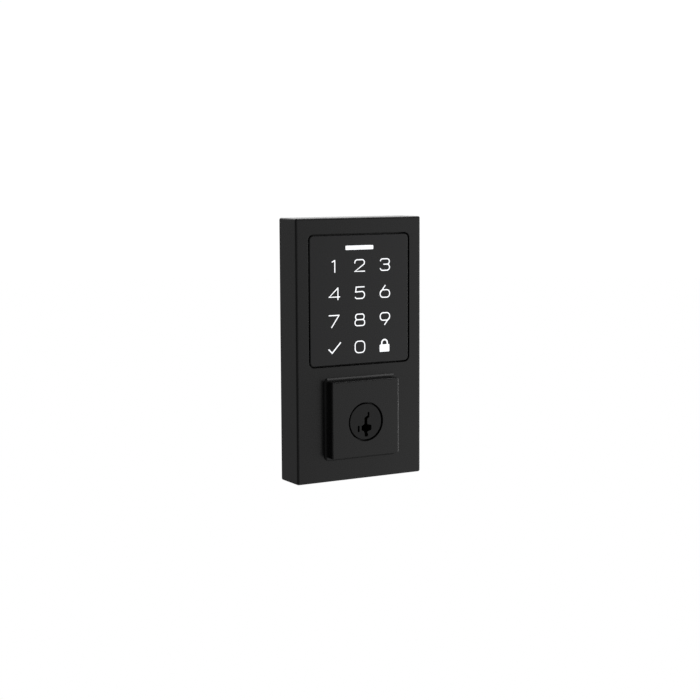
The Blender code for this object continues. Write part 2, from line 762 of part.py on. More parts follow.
def make_cylinder_body():
    profile = [
        (BODY_RADIUS, BODY_REAR_Y),
        (BODY_RADIUS, BODY_FRONT_Y),
        (BODY_BORE_RADIUS, BODY_FRONT_Y),
        (BODY_BORE_RADIUS, BODY_REAR_Y),
    ]
    body = turned("cylinder_body", profile, ZINC, 48, closed=True)
    flange = rounded_outline(FLANGE_SIZE, FLANGE_SIZE, FLANGE_CORNER, 3)
    opening = ring_outline(BODY_RADIUS - OVERLAP, 48)
    join(
        body,
        extrusion("add_flange", [flange, opening], FLANGE_FRONT_Y, FLANGE_REAR_Y, None, (0, AXIS_Z), True),
    )
    groove_half = SIDE_BAR_HALF + GAP
    groove_depth = 0.0015
    cut(
        body,
        box(
            "cut_side_bar_groove",
            (BODY_BORE_RADIUS - groove_depth, SIDE_BAR_FRONT_Y, AXIS_Z + SIDE_BAR_Z - groove_half),
            (BODY_BORE_RADIUS + groove_depth, SIDE_BAR_REAR_Y, AXIS_Z + SIDE_BAR_Z + groove_half),
            hidden=True,
        ),
    )
    hole_rear = FLANGE_REAR_Y + FLANGE_THICKNESS / 2
    for number, (x, z) in enumerate(cylinder_screw_places(), 1):
        cut(body, screw_hole(f"cut_flange_{number}", CYLINDER_SCREW, x, z, hole_rear))
        make_screw(f"cylinder_screw_{number}", CYLINDER_SCREW, x, z, FLANGE_REAR_Y + SEAT)
    return smooth(body)


def keyway_outline():
    """The keyway's section: a stem with a stepped ward on each side and a top that leans right."""
    return [
        (-0.0004, -0.0073),
        (0.0012, -0.0073),
        (0.0012, -0.0059),
        (0.0008, -0.0050),
        (0.0032, -0.0042),
        (0.0032, -0.0020),
        (0.0009, -0.0013),
        (0.0009, 0.0012),
        (0.0021, 0.0022),
        (0.0021, 0.0045),
        (0.0011, 0.0045),
        (0.0011, 0.0029),
        (-0.0007, 0.0019),
        (-0.0007, -0.0012),
        (-0.0023, -0.0020),
        (-0.0023, -0.0040),
        (-0.0009, -0.0046),
    ]


def make_plug():
    profile = [
        (0, PLUG_REAR_Y),
        (PLUG_NECK_RADIUS, PLUG_REAR_Y),
        (PLUG_NECK_RADIUS, BODY_REAR_Y),
        (PLUG_RADIUS, BODY_REAR_Y),
        (PLUG_RADIUS, GUARD_BORE_FRONT_Y),
        (PLUG_HEAD_RADIUS, GUARD_BORE_FRONT_Y),
        (PLUG_HEAD_RADIUS, PLUG_FRONT_Y + PLUG_CHAMFER),
        (PLUG_HEAD_RADIUS - PLUG_CHAMFER, PLUG_FRONT_Y),
        (0, PLUG_FRONT_Y),
    ]
    plug = turned("plug", profile, PLUG_BLACK, ROUND)
    key_end = PIN_YS[-1] + 2 * PIN_PITCH
    keyway = extrusion(
        "cut_keyway", [keyway_outline()], PLUG_FRONT_Y - PAST, key_end, None, (0, AXIS_Z), True
    )
    tool_slot = box(
        "cut_tool_slot",
        (TOOL_SLOT_X - TOOL_SLOT_WIDTH / 2, PLUG_FRONT_Y - PAST, AXIS_Z + TOOL_SLOT_BOTTOM_Z),
        (TOOL_SLOT_X + TOOL_SLOT_WIDTH / 2, PLUG_FRONT_Y + TOOL_SLOT_DEPTH, AXIS_Z + TOOL_SLOT_TOP_Z),
        hidden=True,
    )
    cut(plug, keyway, tool_slot)
    cut_plug_chambers(plug)
    cut_drive_recess(plug)
    return smooth(plug)


def cut_plug_chambers(plug):
    """Pin chambers, wafer slots, the spring cover's slot, and the side bar's slot and spring pockets."""
    first, last = cover_ends()
    cover_slot = box(
        "cut_cover_slot",
        (-COVER_HALF - GAP, first - GAP, AXIS_Z + COVER_BOTTOM_Z - GAP),
        (COVER_HALF + GAP, last + GAP, AXIS_Z + PLUG_RADIUS + PAST),
        hidden=True,
    )
    bar_half = SIDE_BAR_HALF + GAP
    bar_slot_left = SIDE_BAR_LEFT - GAP - SEAT
    bar_slot = box(
        "cut_side_bar_slot",
        (bar_slot_left, SIDE_BAR_FRONT_Y - GAP, AXIS_Z + SIDE_BAR_Z - bar_half),
        (PLUG_RADIUS + PAST, SIDE_BAR_REAR_Y + GAP, AXIS_Z + SIDE_BAR_Z + bar_half),
        hidden=True,
    )
    cut(plug, cover_slot, bar_slot)
    chamber_low = PIN_REST_Z - SEAT - GAP
    chamber_high = COVER_BOTTOM_Z + COVER_THICKNESS
    slot_half = WAFER_HALF + GAP
    slot_left = WAFER_LEFT - 2 * GAP  # the slot meets the pin's chamber
    for number, y in enumerate(PIN_YS, 1):
        upright = Matrix.Translation((0, y, AXIS_Z))
        name = f"cut_chamber_{number}"
        chamber = rod(name, PIN_CHAMBER_RADIUS, chamber_low, chamber_high, place=upright, hidden=True)
        wafer_slot = box(
            f"cut_wafer_slot_{number}",
            (slot_left, y - slot_half, AXIS_Z + WAFER_BOTTOM_Z - GAP),
            (WAFER_RIGHT + 2 * GAP, y + slot_half, AXIS_Z + WAFER_TOP_Z + PIN_TRAVEL + GAP),
            hidden=True,
        )
        cut(plug, chamber, wafer_slot)
    for number, y in enumerate(side_spring_ys(), 1):
        place = along_x(y, AXIS_Z + SIDE_BAR_Z)
        name = f"cut_side_pocket_{number}"
        right = bar_slot_left + OVERLAP
        cut(plug, rod(name, SIDE_POCKET_RADIUS, SIDE_POCKET_LEFT, right, None, 10, place, True))


def side_spring_ys():
    return (SIDE_BAR_FRONT_Y + SIDE_SPRING_INSET, SIDE_BAR_REAR_Y - SIDE_SPRING_INSET)


def cover_ends():
    """Front and rear ends of the strip that closes the pin chambers."""
    reach = 0.0017
    return PIN_YS[0] - reach, PIN_YS[-1] + reach


def arc(radius, start, end, steps):
    """Points on an arc between two angles in degrees, from +X towards +Z."""
    angles = [math.radians(start + (end - start) * step / steps) for step in range(steps + 1)]
    return [(radius * math.cos(angle), radius * math.sin(angle)) for angle in angles]


def cut_drive_recess(plug):
    """The round recess in the plug's rear, with the lug that drives the tailpiece's half-disc."""
    recess = rod("cut_recess_rear", RECESS_RADIUS, RECESS_FLOOR_Y, PLUG_REAR_Y + PAST, None, 32, hidden=True)
    cut(plug, recess)
    start, end = LUG_CENTRE - LUG_HALF, LUG_CENTRE + LUG_HALF
    lug = arc(RECESS_RADIUS + OVERLAP, start, end, 8) + arc(LUG_INNER_RADIUS, end, start, 6)
    front = RECESS_FLOOR_Y - OVERLAP
    rear = BLADE_ROOT_Y - GAP
    join(plug, extrusion("add_lug", [lug], front, rear, None, (0, AXIS_Z), True))


def make_pins_and_wafers(plug_empty, plug_origin):
    """Each follower pin and its wafer rise together, against the spring above the pin."""
    for number, y in enumerate(PIN_YS, 1):
        origin = (0.0, y, AXIS_Z + PIN_REST_Z)
        empty = hinge_empty(f"pin_slide_{number}", origin, plug_empty)
        pin = make_pin(number, y)
        wafer = make_wafer(number, y)
        carry(empty, origin, pin, wafer)
        spring = make_spring(
            f"pin_spring_{number}",
            Matrix.Translation((0, y, AXIS_Z)),
            PIN_REST_Z + PIN_LENGTH + GAP,
            COVER_BOTTOM_Z - SEAT,
            PIN_SPRING,
        )
        carry(plug_empty, plug_origin, spring)


def make_pin(number, y):
    """A pointed brass pin with two rack grooves, which mesh with the wafer."""
    bottom = PIN_REST_Z
    top = bottom + PIN_LENGTH
    groove_radius = PIN_RADIUS - 0.0003
    groove_height = 0.00055
    groove_slope = 0.00015
    groove_pitch = 0.0011
    point_radius = 0.0004
    point_height = 0.0006
    profile = [(0, top), (PIN_RADIUS, top)]
    for groove in range(2):
        high = top - groove_pitch * (groove + 1)
        low = high - groove_height
        profile += [
            (PIN_RADIUS, high),
            (groove_radius, high - groove_slope),
            (groove_radius, low + groove_slope),
            (PIN_RADIUS, low),
        ]
    profile += [(PIN_RADIUS, bottom + point_height), (point_radius, bottom), (0, bottom)]
    place = Matrix.Translation((0, y, AXIS_Z))
    return smooth(turned(f"pin_{number}", profile, BRASS, 10, place), 25)


def make_wafer(number, y):
    """A flat wafer beside the pin, with the side bar's notch in its right edge."""
    notch_depth = 0.0007
    notch_half = 0.0005
    wafer = box(
        f"wafer_{number}",
        (WAFER_LEFT, y - WAFER_HALF, AXIS_Z + WAFER_BOTTOM_Z),
        (WAFER_RIGHT, y + WAFER_HALF, AXIS_Z + WAFER_TOP_Z),
        STEEL,
    )
    notch = box(
        f"cut_wafer_{number}",
        (WAFER_RIGHT - notch_depth, y - PAST, AXIS_Z + SIDE_BAR_Z - notch_half),
        (WAFER_RIGHT + PAST, y + PAST, AXIS_Z + SIDE_BAR_Z + notch_half),
        hidden=True,
    )
    return cut(wafer, notch)


def make_spring(name, place, start, end, size):
    """A compression spring about the place's Z axis, as a wire wound on a helix."""
    per_turn = 7
    points = size.turns * per_turn + 1
    curve = bpy.data.curves.new(name, "CURVE")
    curve.dimensions = "3D"
    curve.bevel_depth = size.wire
    curve.bevel_resolution = 0
    curve.use_fill_caps = True
    spline = curve.splines.new("POLY")
    spline.points.add(points - 1)
    low, high = start + size.wire, end - size.wire
    for index, point in enumerate(spline.points):
        angle = 2 * math.pi * index / per_turn
        height = low + (high - low) * index / (points - 1)
        point.co = (size.radius * math.cos(angle), size.radius * math.sin(angle), height, 1.0)
    obj = bpy.data.objects.new(name, curve)
    bpy.context.scene.collection.objects.link(obj)
    mesh = evaluated_mesh(obj, name)
    mesh.transform(place)
    return add_object(name, mesh, STEEL)


def make_side_bar():
    """The side bar, drawn back into the plug, and the two springs behind it."""
    middle_z = AXIS_Z + SIDE_BAR_Z
    bar = box(
        "side_bar",
        (SIDE_BAR_LEFT, SIDE_BAR_FRONT_Y, middle_z - SIDE_BAR_HALF),
        (SIDE_BAR_RIGHT, SIDE_BAR_REAR_Y, middle_z + SIDE_BAR_HALF),
        BRASS,
    )
    pieces = [bar]
    for number, y in enumerate(side_spring_ys(), 1):
        spring = make_spring(
            f"side_bar_spring_{number}",
            along_x(y, middle_z),
            SIDE_POCKET_LEFT + SEAT,
            SIDE_BAR_LEFT - SEAT,
            SIDE_SPRING,
        )
        pieces.append(spring)
    return pieces


def make_spring_cover():
    first, last = cover_ends()
    bottom = AXIS_Z + COVER_BOTTOM_Z
    return box(
        "spring_cover", (-COVER_HALF, first, bottom), (COVER_HALF, last, bottom + COVER_THICKNESS), STEEL
    )


def make_plug_retainer():
    """A cap over the plug's rear neck: it holds the plug in the body and the tailpiece in the plug."""
    front = BODY_REAR_Y + GAP
    step = PLUG_REAR_Y + GAP
    rear = step + RETAINER_THICKNESS
    chamfer = 0.0003
    neck_radius = PLUG_NECK_RADIUS + GAP
    profile = [
        (RETAINER_HOLE_RADIUS, rear),
        (RETAINER_RADIUS - chamfer, rear),
        (RETAINER_RADIUS, rear - chamfer),
        (RETAINER_RADIUS, front),
        (neck_radius, front),
        (neck_radius, step),
        (RETAINER_HOLE_RADIUS, step),
    ]
    return smooth(turned("plug_retainer", profile, STEEL, ROUND, closed=True))


def make_tailpiece():
    """A half-disc that the lug turns after a quarter turn of free play, and the long flat blade."""
    front = RECESS_FLOOR_Y + GAP
    hub_inset = 0.0002
    rear = PLUG_REAR_Y - hub_inset
    head = [(0.0, 0.0)] + arc(HEAD_RADIUS, HEAD_CENTRE - HEAD_HALF, HEAD_CENTRE + HEAD_HALF, 16)
    tail = extrusion("tailpiece", [head], front, rear, STEEL, (0, AXIS_Z))
    hub = rod("add_hub", HUB_RADIUS, front + hub_inset, rear - hub_inset, None, 24, hidden=True)
    blade = box(
        "add_blade",
        (-BLADE_THICKNESS / 2, BLADE_ROOT_Y, AXIS_Z - BLADE_WIDTH / 2),
        (BLADE_THICKNESS / 2, TAIL_END_Y, AXIS_Z + BLADE_WIDTH / 2),
        hidden=True,
    )
    join(tail, hub, blade)
    tip = 0.0010
    for number, side in enumerate((-1, 1), 1):
        corner = Matrix.Translation((0, TAIL_END_Y, AXIS_Z + side * BLADE_WIDTH / 2))
        mesh = box_mesh((-PAST, -tip, -tip), (PAST, tip, tip))
        mesh.transform(corner @ Matrix.Rotation(math.pi / 4, 4, "X"))
        cut(tail, add_object(f"cut_tip_{number}", mesh, None, True))
    return tail


def make_cylinder():
    make_cylinder_guard()
    make_cylinder_body()
    plug_origin = (0.0, PLUG_FRONT_Y, AXIS_Z)
    plug_empty = hinge_empty("plug_turn", plug_origin)
    carry(
        plug_empty,
        plug_origin,
        make_plug(),
        make_spring_cover(),
        make_plug_retainer(),
        *make_side_bar(),
    )
    make_pins_and_wafers(plug_empty, plug_origin)
    tail_origin = (0.0, RECESS_FLOOR_Y, AXIS_Z)
    tail_empty = hinge_empty("tailpiece_play", tail_origin, plug_empty)
    carry(tail_empty, tail_origin, make_tailpiece())


# --- back plate and what fastens to the door -----------------------------------------------------
def make_back_plate():
    outline = rounded_outline(PLATE_WIDTH, PLATE_HEIGHT, PLATE_CORNER, 2)
    plate = extrusion("back_plate", [outline], PLATE_FRONT_Y, PLATE_REAR_Y, STEEL)
    cut_door_side(plate, "plate", PLATE_FRONT_Y - PAST, PLATE_BODY_MARGIN, PLATE_CABLE_MARGIN, GAP)
    for number, (x, z) in enumerate(plate_screw_places(), 1):
        cut(plate, screw_hole(f"cut_plate_{number}", PLATE_SCREW, x, z))
        make_screw(f"plate_screw_{number}", PLATE_SCREW, x, z, PLATE_REAR_Y + SEAT)
    return smooth(plate)


def cut_door_side(sheet, label, front, body_margin, cable_margin, post_margin):
    """Cuts a sheet for the cylinder, the cable grommet and the two posts."""
    cable = rounded_outline(
        CABLE_WIDTH + 2 * cable_margin, CABLE_HEIGHT + 2 * cable_margin, CABLE_CORNER + cable_margin / 2, 3
    )
    cut(
        sheet,
        rod(f"cut_{label}_body", BODY_RADIUS + body_margin, front, PAST, None, ROUND, hidden=True),
        extrusion(f"cut_{label}_cable", [cable], front, PAST, None, (0, CABLE_Z), True),
    )
    for number, side in enumerate((-1, 1), 1):
        radius = POST_RADIUS + post_margin
        place = along_y(side * POST_X)
        cut(sheet, rod(f"cut_{label}_post_{number}", radius, front, PAST, None, 24, place, True))


def make_rear_gasket():
    """A die-cut foam sheet, which seals the housing to the door."""
    outline = rounded_outline(GASKET_WIDTH, GASKET_HEIGHT, GASKET_CORNER, 3)
    gasket = extrusion("rear_gasket", [outline], -GASKET_THICKNESS, 0.0, RUBBER_BLACK)
    cut_door_side(gasket, "gasket", -PAST, GASKET_BODY_MARGIN, GASKET_CABLE_MARGIN, GAP + SEAT)
    head_hole = PLATE_SCREW.head_radius + GAP + SEAT
    for number, (x, z) in enumerate(plate_screw_places(), 1):
        cut(gasket, rod(f"cut_gasket_{number}", head_hole, -PAST, PAST, None, 16, along_y(x, z), True))
    return gasket


def make_posts():
    """Threaded posts, collared inside the back plate, which take the bolts through the door."""
    collar_rear = PLATE_FRONT_Y - GAP
    collar_front = collar_rear - POST_COLLAR_THICKNESS
    edge = 0.0004
    drill_tip = collar_front + 0.0040
    drill_shoulder = drill_tip + 0.0010
    profile = [
        (POST_BORE_RADIUS, POST_END_Y),
        (POST_RADIUS - edge / 2, POST_END_Y),
        (POST_RADIUS, POST_END_Y - edge),
        (POST_RADIUS, collar_rear),
        (POST_COLLAR_RADIUS, collar_rear),
        (POST_COLLAR_RADIUS, collar_front),
        (0, collar_front),
        (0, drill_tip),
        (POST_BORE_RADIUS, drill_shoulder),
    ]
    for name, side in (("left", -1), ("right", 1)):
        smooth(turned(f"threaded_post_{name}", profile, STEEL, 24, along_y(side * POST_X), closed=True))


def make_cable_grommet():
    """A soft collar in the back plate's cable outlet, with a lip on each side of the plate."""
    lip_thickness = 0.0010
    lip_width = 0.0025
    neck_wall = 0.0012
    neck_sink = 0.0002  # the neck stops short of each lip's face
    opening = rounded_outline(CABLE_WIDTH, CABLE_HEIGHT, CABLE_CORNER, 3)
    neck = rounded_outline(
        CABLE_WIDTH + 2 * neck_wall, CABLE_HEIGHT + 2 * neck_wall, CABLE_CORNER + neck_wall / 2, 3
    )
    lip = rounded_outline(
        CABLE_WIDTH + 2 * lip_width, CABLE_HEIGHT + 2 * lip_width, CABLE_CORNER + lip_width / 2, 3
    )
    front = PLATE_FRONT_Y - GAP - lip_thickness
    rear = PLATE_REAR_Y + GAP + lip_thickness
    middle = (0, CABLE_Z)
    grommet = extrusion(
        "cable_grommet", [neck, opening], front + neck_sink, rear - neck_sink, RUBBER_BLACK, middle
    )
    front_lip = extrusion(
        "add_grommet_front", [lip, opening], front, front + lip_thickness, None, middle, True
    )
    rear_lip = extrusion("add_grommet_rear", [lip, opening], rear - lip_thickness, rear, None, middle, True)
    return join(grommet, front_lip, rear_lip)


make_front_housing()
make_touch_panel()
make_panel_seal()
make_light_guide()
make_keypad_board()
make_board_carrier()
make_cylinder()
make_back_plate()
make_rear_gasket()
make_posts()
make_cable_grommet()
bpy.context.view_layer.update()
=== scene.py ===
"""Keypad smart lock, outside half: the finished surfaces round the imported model.

Metres, +Z up. The keypad looks along -Y and the door is on the +Y side. The fine pieces take their
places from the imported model's own boxes and joints.
"""
import json
import math

import bmesh
import bpy
from mathutils import Matrix, Vector


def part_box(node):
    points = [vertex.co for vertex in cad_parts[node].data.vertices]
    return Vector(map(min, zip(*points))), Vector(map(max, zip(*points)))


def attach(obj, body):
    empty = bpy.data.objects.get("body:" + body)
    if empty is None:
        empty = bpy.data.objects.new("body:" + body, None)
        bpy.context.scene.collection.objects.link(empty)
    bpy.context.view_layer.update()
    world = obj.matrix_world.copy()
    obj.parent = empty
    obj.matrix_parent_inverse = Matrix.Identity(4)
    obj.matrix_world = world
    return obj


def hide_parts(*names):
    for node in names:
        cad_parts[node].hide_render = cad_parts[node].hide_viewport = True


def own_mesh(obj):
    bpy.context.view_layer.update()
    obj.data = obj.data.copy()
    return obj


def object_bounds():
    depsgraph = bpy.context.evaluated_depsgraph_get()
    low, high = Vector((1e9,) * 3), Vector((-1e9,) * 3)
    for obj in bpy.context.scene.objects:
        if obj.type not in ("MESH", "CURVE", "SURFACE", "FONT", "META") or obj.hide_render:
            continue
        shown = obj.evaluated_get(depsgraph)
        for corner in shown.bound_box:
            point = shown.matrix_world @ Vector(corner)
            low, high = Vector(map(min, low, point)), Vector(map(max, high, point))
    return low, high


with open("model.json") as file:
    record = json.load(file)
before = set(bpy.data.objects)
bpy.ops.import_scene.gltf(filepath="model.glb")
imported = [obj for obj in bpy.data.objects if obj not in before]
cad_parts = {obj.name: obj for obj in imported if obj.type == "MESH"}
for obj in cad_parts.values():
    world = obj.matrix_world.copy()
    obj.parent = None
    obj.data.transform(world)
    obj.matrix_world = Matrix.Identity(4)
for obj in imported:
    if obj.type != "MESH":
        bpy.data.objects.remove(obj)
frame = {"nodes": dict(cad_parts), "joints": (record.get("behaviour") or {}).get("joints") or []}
CAD_LOW, CAD_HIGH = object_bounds()
NODES = frame["nodes"]
JOINTS = {joint["name"]: joint for joint in frame["joints"]}
MM = 0.001


def centre(node):
    low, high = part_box(node)
    return (low + high) / 2


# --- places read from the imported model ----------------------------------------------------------
HOUSING_LOW, HOUSING_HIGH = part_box("front_housing")
PANEL_LOW, PANEL_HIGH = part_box("touch_panel")
LENS_LOW, LENS_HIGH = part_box("status_light_lens")
GUARD_LOW, GUARD_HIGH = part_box("cylinder_guard")
PLUG_LOW, PLUG_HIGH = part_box("plug")
BODY_LOW, BODY_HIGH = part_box("cylinder_body")
PLATE_LOW, PLATE_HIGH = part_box("back_plate")
GASKET_LOW, GASKET_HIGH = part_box("rear_gasket")
GROMMET_LOW, GROMMET_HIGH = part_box("cable_grommet")
RETAINER_LOW, RETAINER_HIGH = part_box("plug_retainer")
TAIL_END_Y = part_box("tailpiece")[1].y
SEAL_REAR_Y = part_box("panel_seal")[1].y
AXIS_Z = JOINTS["plug_turn"]["pos_m"][2]
FACE_Y = HOUSING_LOW.y
CABLE_Z = centre("cable_grommet").z
POST_X = centre("threaded_post_right").x
PIN_YS = [centre(f"pin_{number}").y for number in range(1, 6)]

# --- sizes of the fine shapes -------------------------------------------------------------------
PAST = 4 * MM  # how far a cutter runs past the face it opens
OVERLAP = 0.5 * MM  # how far a joined shape runs into its neighbour
GAP = 0.3 * MM  # between a piece and the opening it sits in
MERGE = 0.0001 * MM  # points nearer than this are one
WELD = 0.0005 * MM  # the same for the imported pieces
ON_AXIS = 0.001 * MM  # a profile point nearer than this to its axis is on it
SHARPEST = 0.01 * MM  # the least corner radius of a rounded rectangle
FLAT_ANGLE = math.radians(0.5)  # faces that meet at less than this are one flat
SMOOTH_ANGLE = math.radians(40)  # edges sharper than this stay sharp
SIDE_WALL = 2.4 * MM
FACE_WALL = 3.0 * MM
HOUSING_EDGE = 1.05 * MM
HOUSING_REAR_EDGE = 0.25 * MM
WINDOW_WIDTH = 49.6 * MM
WINDOW_HEIGHT = 57.2 * MM
WINDOW_CORNER = 1.5 * MM
COLUMN_RADIUS = 3.7 * MM  # under each screw of the back plate
BOSS_RADIUS = 2.2 * MM  # under each screw of the board carrier
PILOT_RADIUS = 1.25 * MM
PILOT_DEPTH = 0.5 * MM  # past the screw's tip
SCREW_HOLE_RADIUS = 1.4 * MM
PANEL_CORNER = 2.1 * MM
PANEL_EDGE = 0.45 * MM
PANEL_REAR_EDGE = 0.15 * MM
PANEL_MARGIN = 0.6 * MM
RECESS_LIP = 0.28 * MM
LENS_CORNER = 0.3 * MM
LENS_EDGE = 0.12 * MM
LENS_REAR_EDGE = 0.05 * MM
LENS_MARGIN = 0.12 * MM
LENS_SLOT_CORNER = 0.4 * MM
WINDOW_WALL_REAR_Y = centre("keypad_board").y - 1.0 * MM
FOOT_WIDTH = 1.5 * MM
FOOT_HEIGHT = 0.8 * MM
FOOT_CHAMFER = 0.7 * MM
GUARD_SIZE = GUARD_HIGH.x - GUARD_LOW.x - 2 * FOOT_WIDTH
GUARD_EDGE = 0.60 * MM
NECK_SIZE = 28.8 * MM
NECK_CORNER = 0.8 * MM
GUARD_LIP = 2.2 * MM
PLUG_RADIUS = 8.5 * MM
PLUG_HEAD_RADIUS = PLUG_HIGH.x
PLUG_HOLE_RADIUS = 9.5 * MM
BODY_RADIUS = 12.6 * MM
BODY_BORE_RADIUS = 8.7 * MM
POST_RADIUS = 3.2 * MM
POST_BORE_RADIUS = 2.1 * MM
OUTLET_WIDTH = 9.4 * MM  # the cable's way out
OUTLET_HEIGHT = 5.4 * MM
OUTLET_CORNER = 1.2 * MM
FINE = 96  # sides of a large round piece


# --- mesh tools ---------------------------------------------------------------------------------
def to_mesh(shape):
    bmesh.ops.remove_doubles(shape, verts=shape.verts, dist=MERGE)
    bmesh.ops.recalc_face_normals(shape, faces=shape.faces)
    mesh = bpy.data.meshes.new("shape")
    shape.to_mesh(mesh)
    shape.free()
    return mesh


def rounded_outline(width, height, radius, steps=8):
    """Points round a rectangle with round corners, centred on 0, anticlockwise."""
    points = []
    for quarter, (sign_x, sign_z) in enumerate(((1, 1), (-1, 1), (-1, -1), (1, -1))):
        x = sign_x * (width / 2 - radius)
        z = sign_z * (height / 2 - radius)
        for step in range(steps + 1):
            angle = math.pi / 2 * (quarter + step / steps)
            points.append((x + radius * math.cos(angle), z + radius * math.sin(angle)))
    return points


def arc(x, z, radius, start, end, steps=8):
    """Points on an arc between two angles in degrees, from +X towards +Z."""
    angles = [math.radians(start + (end - start) * step / steps) for step in range(steps + 1)]
    return [(x + radius * math.cos(a), z + radius * math.sin(a)) for a in angles]


def loft(rings):
    """A closed solid through rings of (x, z) points, each ring at its own y."""
    shape = bmesh.new()
    rows = [[shape.verts.new((x, y, z)) for x, z in points] for y, points in rings]
    for near, far in zip(rows, rows[1:]):
        for i, corner in enumerate(near):
            j = (i + 1) % len(near)
            shape.faces.new((corner, near[j], far[j], far[i]))
    shape.faces.new(rows[0])
    shape.faces.new(list(reversed(rows[-1])))
    return to_mesh(shape)


def moved(points, middle):
    return [(x + middle[0], z + middle[1]) for x, z in points]


def block(width, height, corner, front, rear, middle=(0.0, 0.0), front_round=0.0, rear_round=0.0, steps=6):
    """A rounded rectangle extruded along Y, with rounded front and rear rims."""
    rings = []

    def ring(y, inset):
        radius = max(corner - inset, SHARPEST)
        outline = rounded_outline(width - 2 * inset, height - 2 * inset, radius, steps)
        rings.append((y, moved(outline, middle)))

    for step in range(steps + 1 if front_round else 1):
        angle = math.pi / 2 * step / steps
        ring(front + front_round * (1 - math.cos(angle)), front_round * (1 - math.sin(angle)))
    for step in range(steps, -1, -1) if rear_round else (0,):
        angle = math.pi / 2 * step / steps
        ring(rear - rear_round * (1 - math.cos(angle)), rear_round * (1 - math.sin(angle)))
    return loft(rings)


def pocket(width, height, corner, face, floor, middle, lip):
    """A cutter for a recess whose mouth is rounded by lip."""
    rings = []
    steps = 4
    for step in range(-1, steps + 1):
        angle = math.pi / 2 * max(step, 0) / steps
        y = face - PAST if step < 0 else face + lip * (1 - math.cos(angle))
        outset = lip * (1 - math.sin(angle))
        outline = rounded_outline(width + 2 * outset, height + 2 * outset, corner + outset)
        rings.append((y, moved(outline, middle)))
    rings.append((floor, moved(rounded_outline(width, height, corner), middle)))
    return loft(rings)


def lathe(profile, sides=FINE, place=(0.0, 0.0), closed=False):
    """A profile of (radius, y) turned about an axis parallel to Y, through place, (x, z)."""
    shape = bmesh.new()
    x, z = place
    turn = [2 * math.pi * i / sides for i in range(sides)]
    rows = []
    for radius, y in profile:
        if radius < ON_AXIS:
            rows.append([shape.verts.new((x, y, z))] * sides)
            continue
        rows.append([shape.verts.new((x + radius * math.cos(a), y, z + radius * math.sin(a))) for a in turn])
    pairs = list(zip(rows, rows[1:]))
    if closed:
        pairs.append((rows[-1], rows[0]))
    for near, far in pairs:
        for i in range(sides):
            j = (i + 1) % sides
            corners = list(dict.fromkeys((near[i], near[j], far[j], far[i])))
            if len(corners) > 2:
                shape.faces.new(corners)
    return to_mesh(shape)


def rod(radius, start, end, sides=32, place=(0.0, 0.0)):
    return lathe([(0, start), (radius, start), (radius, end), (0, end)], sides, place)


def brick(low, high):
    """A block between two corners."""
    size = Vector(high) - Vector(low)
    middle = (Vector(high) + Vector(low)) / 2
    shape = bmesh.new()
    bmesh.ops.create_cube(shape, size=1.0, matrix=Matrix.Translation(middle) @ Matrix.Diagonal((*size, 1.0)))
    return to_mesh(shape)


def extrude(points, front, rear, middle=(0.0, 0.0)):
    placed = moved(points, middle)
    return loft([(front, placed), (rear, placed)])


def combine(mesh, others, operation="DIFFERENCE"):
    """The mesh with other meshes cut from it or joined to it."""
    scene = bpy.context.scene
    base = bpy.data.objects.new("base", mesh)
    scene.collection.objects.link(base)
    helpers = [bpy.data.objects.new("helper", other) for other in others]
    for helper in helpers:
        scene.collection.objects.link(helper)
        modifier = base.modifiers.new("combine", "BOOLEAN")
        modifier.operation = operation
        modifier.solver = "EXACT"
        modifier.object = helper
    bpy.context.view_layer.update()
    graph = bpy.context.evaluated_depsgraph_get()
    result = bpy.data.meshes.new_from_object(base.evaluated_get(graph))
    for obj in [base, *helpers]:
        bpy.data.objects.remove(obj)
    return result


def bevel_where(mesh, chosen, width):
    """Rounds the edges for which chosen(edge) is true, after flat neighbours are merged."""
    shape = bmesh.new()
    shape.from_mesh(mesh)
    bmesh.ops.dissolve_limit(shape, angle_limit=FLAT_ANGLE, verts=shape.verts, edges=shape.edges)
    edges = [edge for edge in shape.edges if len(edge.link_faces) == 2 and chosen(edge)]
    bmesh.ops.bevel(
        shape, geom=edges, offset=width, segments=2, profile=0.5, affect="EDGES", clamp_overlap=True
    )
    return to_mesh(shape)


def piece(name, mesh, look, body, nodes=()):
    """A finished piece: smooth shading that keeps its flats flat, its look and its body."""
    obj = bpy.data.objects.new(name, mesh)
    bpy.context.scene.collection.objects.link(obj)
    mesh.materials.clear()
    mesh.materials.append(look)
    mesh.shade_smooth()
    mesh.set_sharp_from_angle(angle=SMOOTH_ANGLE)
    weighted = obj.modifiers.new("flats", "WEIGHTED_NORMAL")
    weighted.keep_sharp = True
    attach(obj, body)
    if nodes:
        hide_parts(*nodes)
    return obj


# --- looks --------------------------------------------------------------------------------------
def add_node(tree, kind, inputs=None, **settings):
    made = tree.nodes.new(kind)
    for key, value in settings.items():
        setattr(made, key, value)
    for socket, value in (inputs or {}).items():
        if isinstance(value, bpy.types.NodeSocket):
            tree.links.new(value, made.inputs[socket])
        else:
            made.inputs[socket].default_value = value
    return made


def noise(tree, vector, scale, detail=3.0):
    return add_node(
        tree, "ShaderNodeTexNoise", {"Vector": vector, "Scale": scale, "Detail": detail, "Roughness": 0.55}
    ).outputs["Fac"]


def remap(tree, value, low, high, from_low=0.3, from_high=0.7):
    return add_node(
        tree,
        "ShaderNodeMapRange",
        {"Value": value, "From Min": from_low, "From Max": from_high, "To Min": low, "To Max": high},
    ).outputs["Result"]


def tint(colour, share):
    return (*(min(1.0, channel * share) for channel in colour), 1.0)


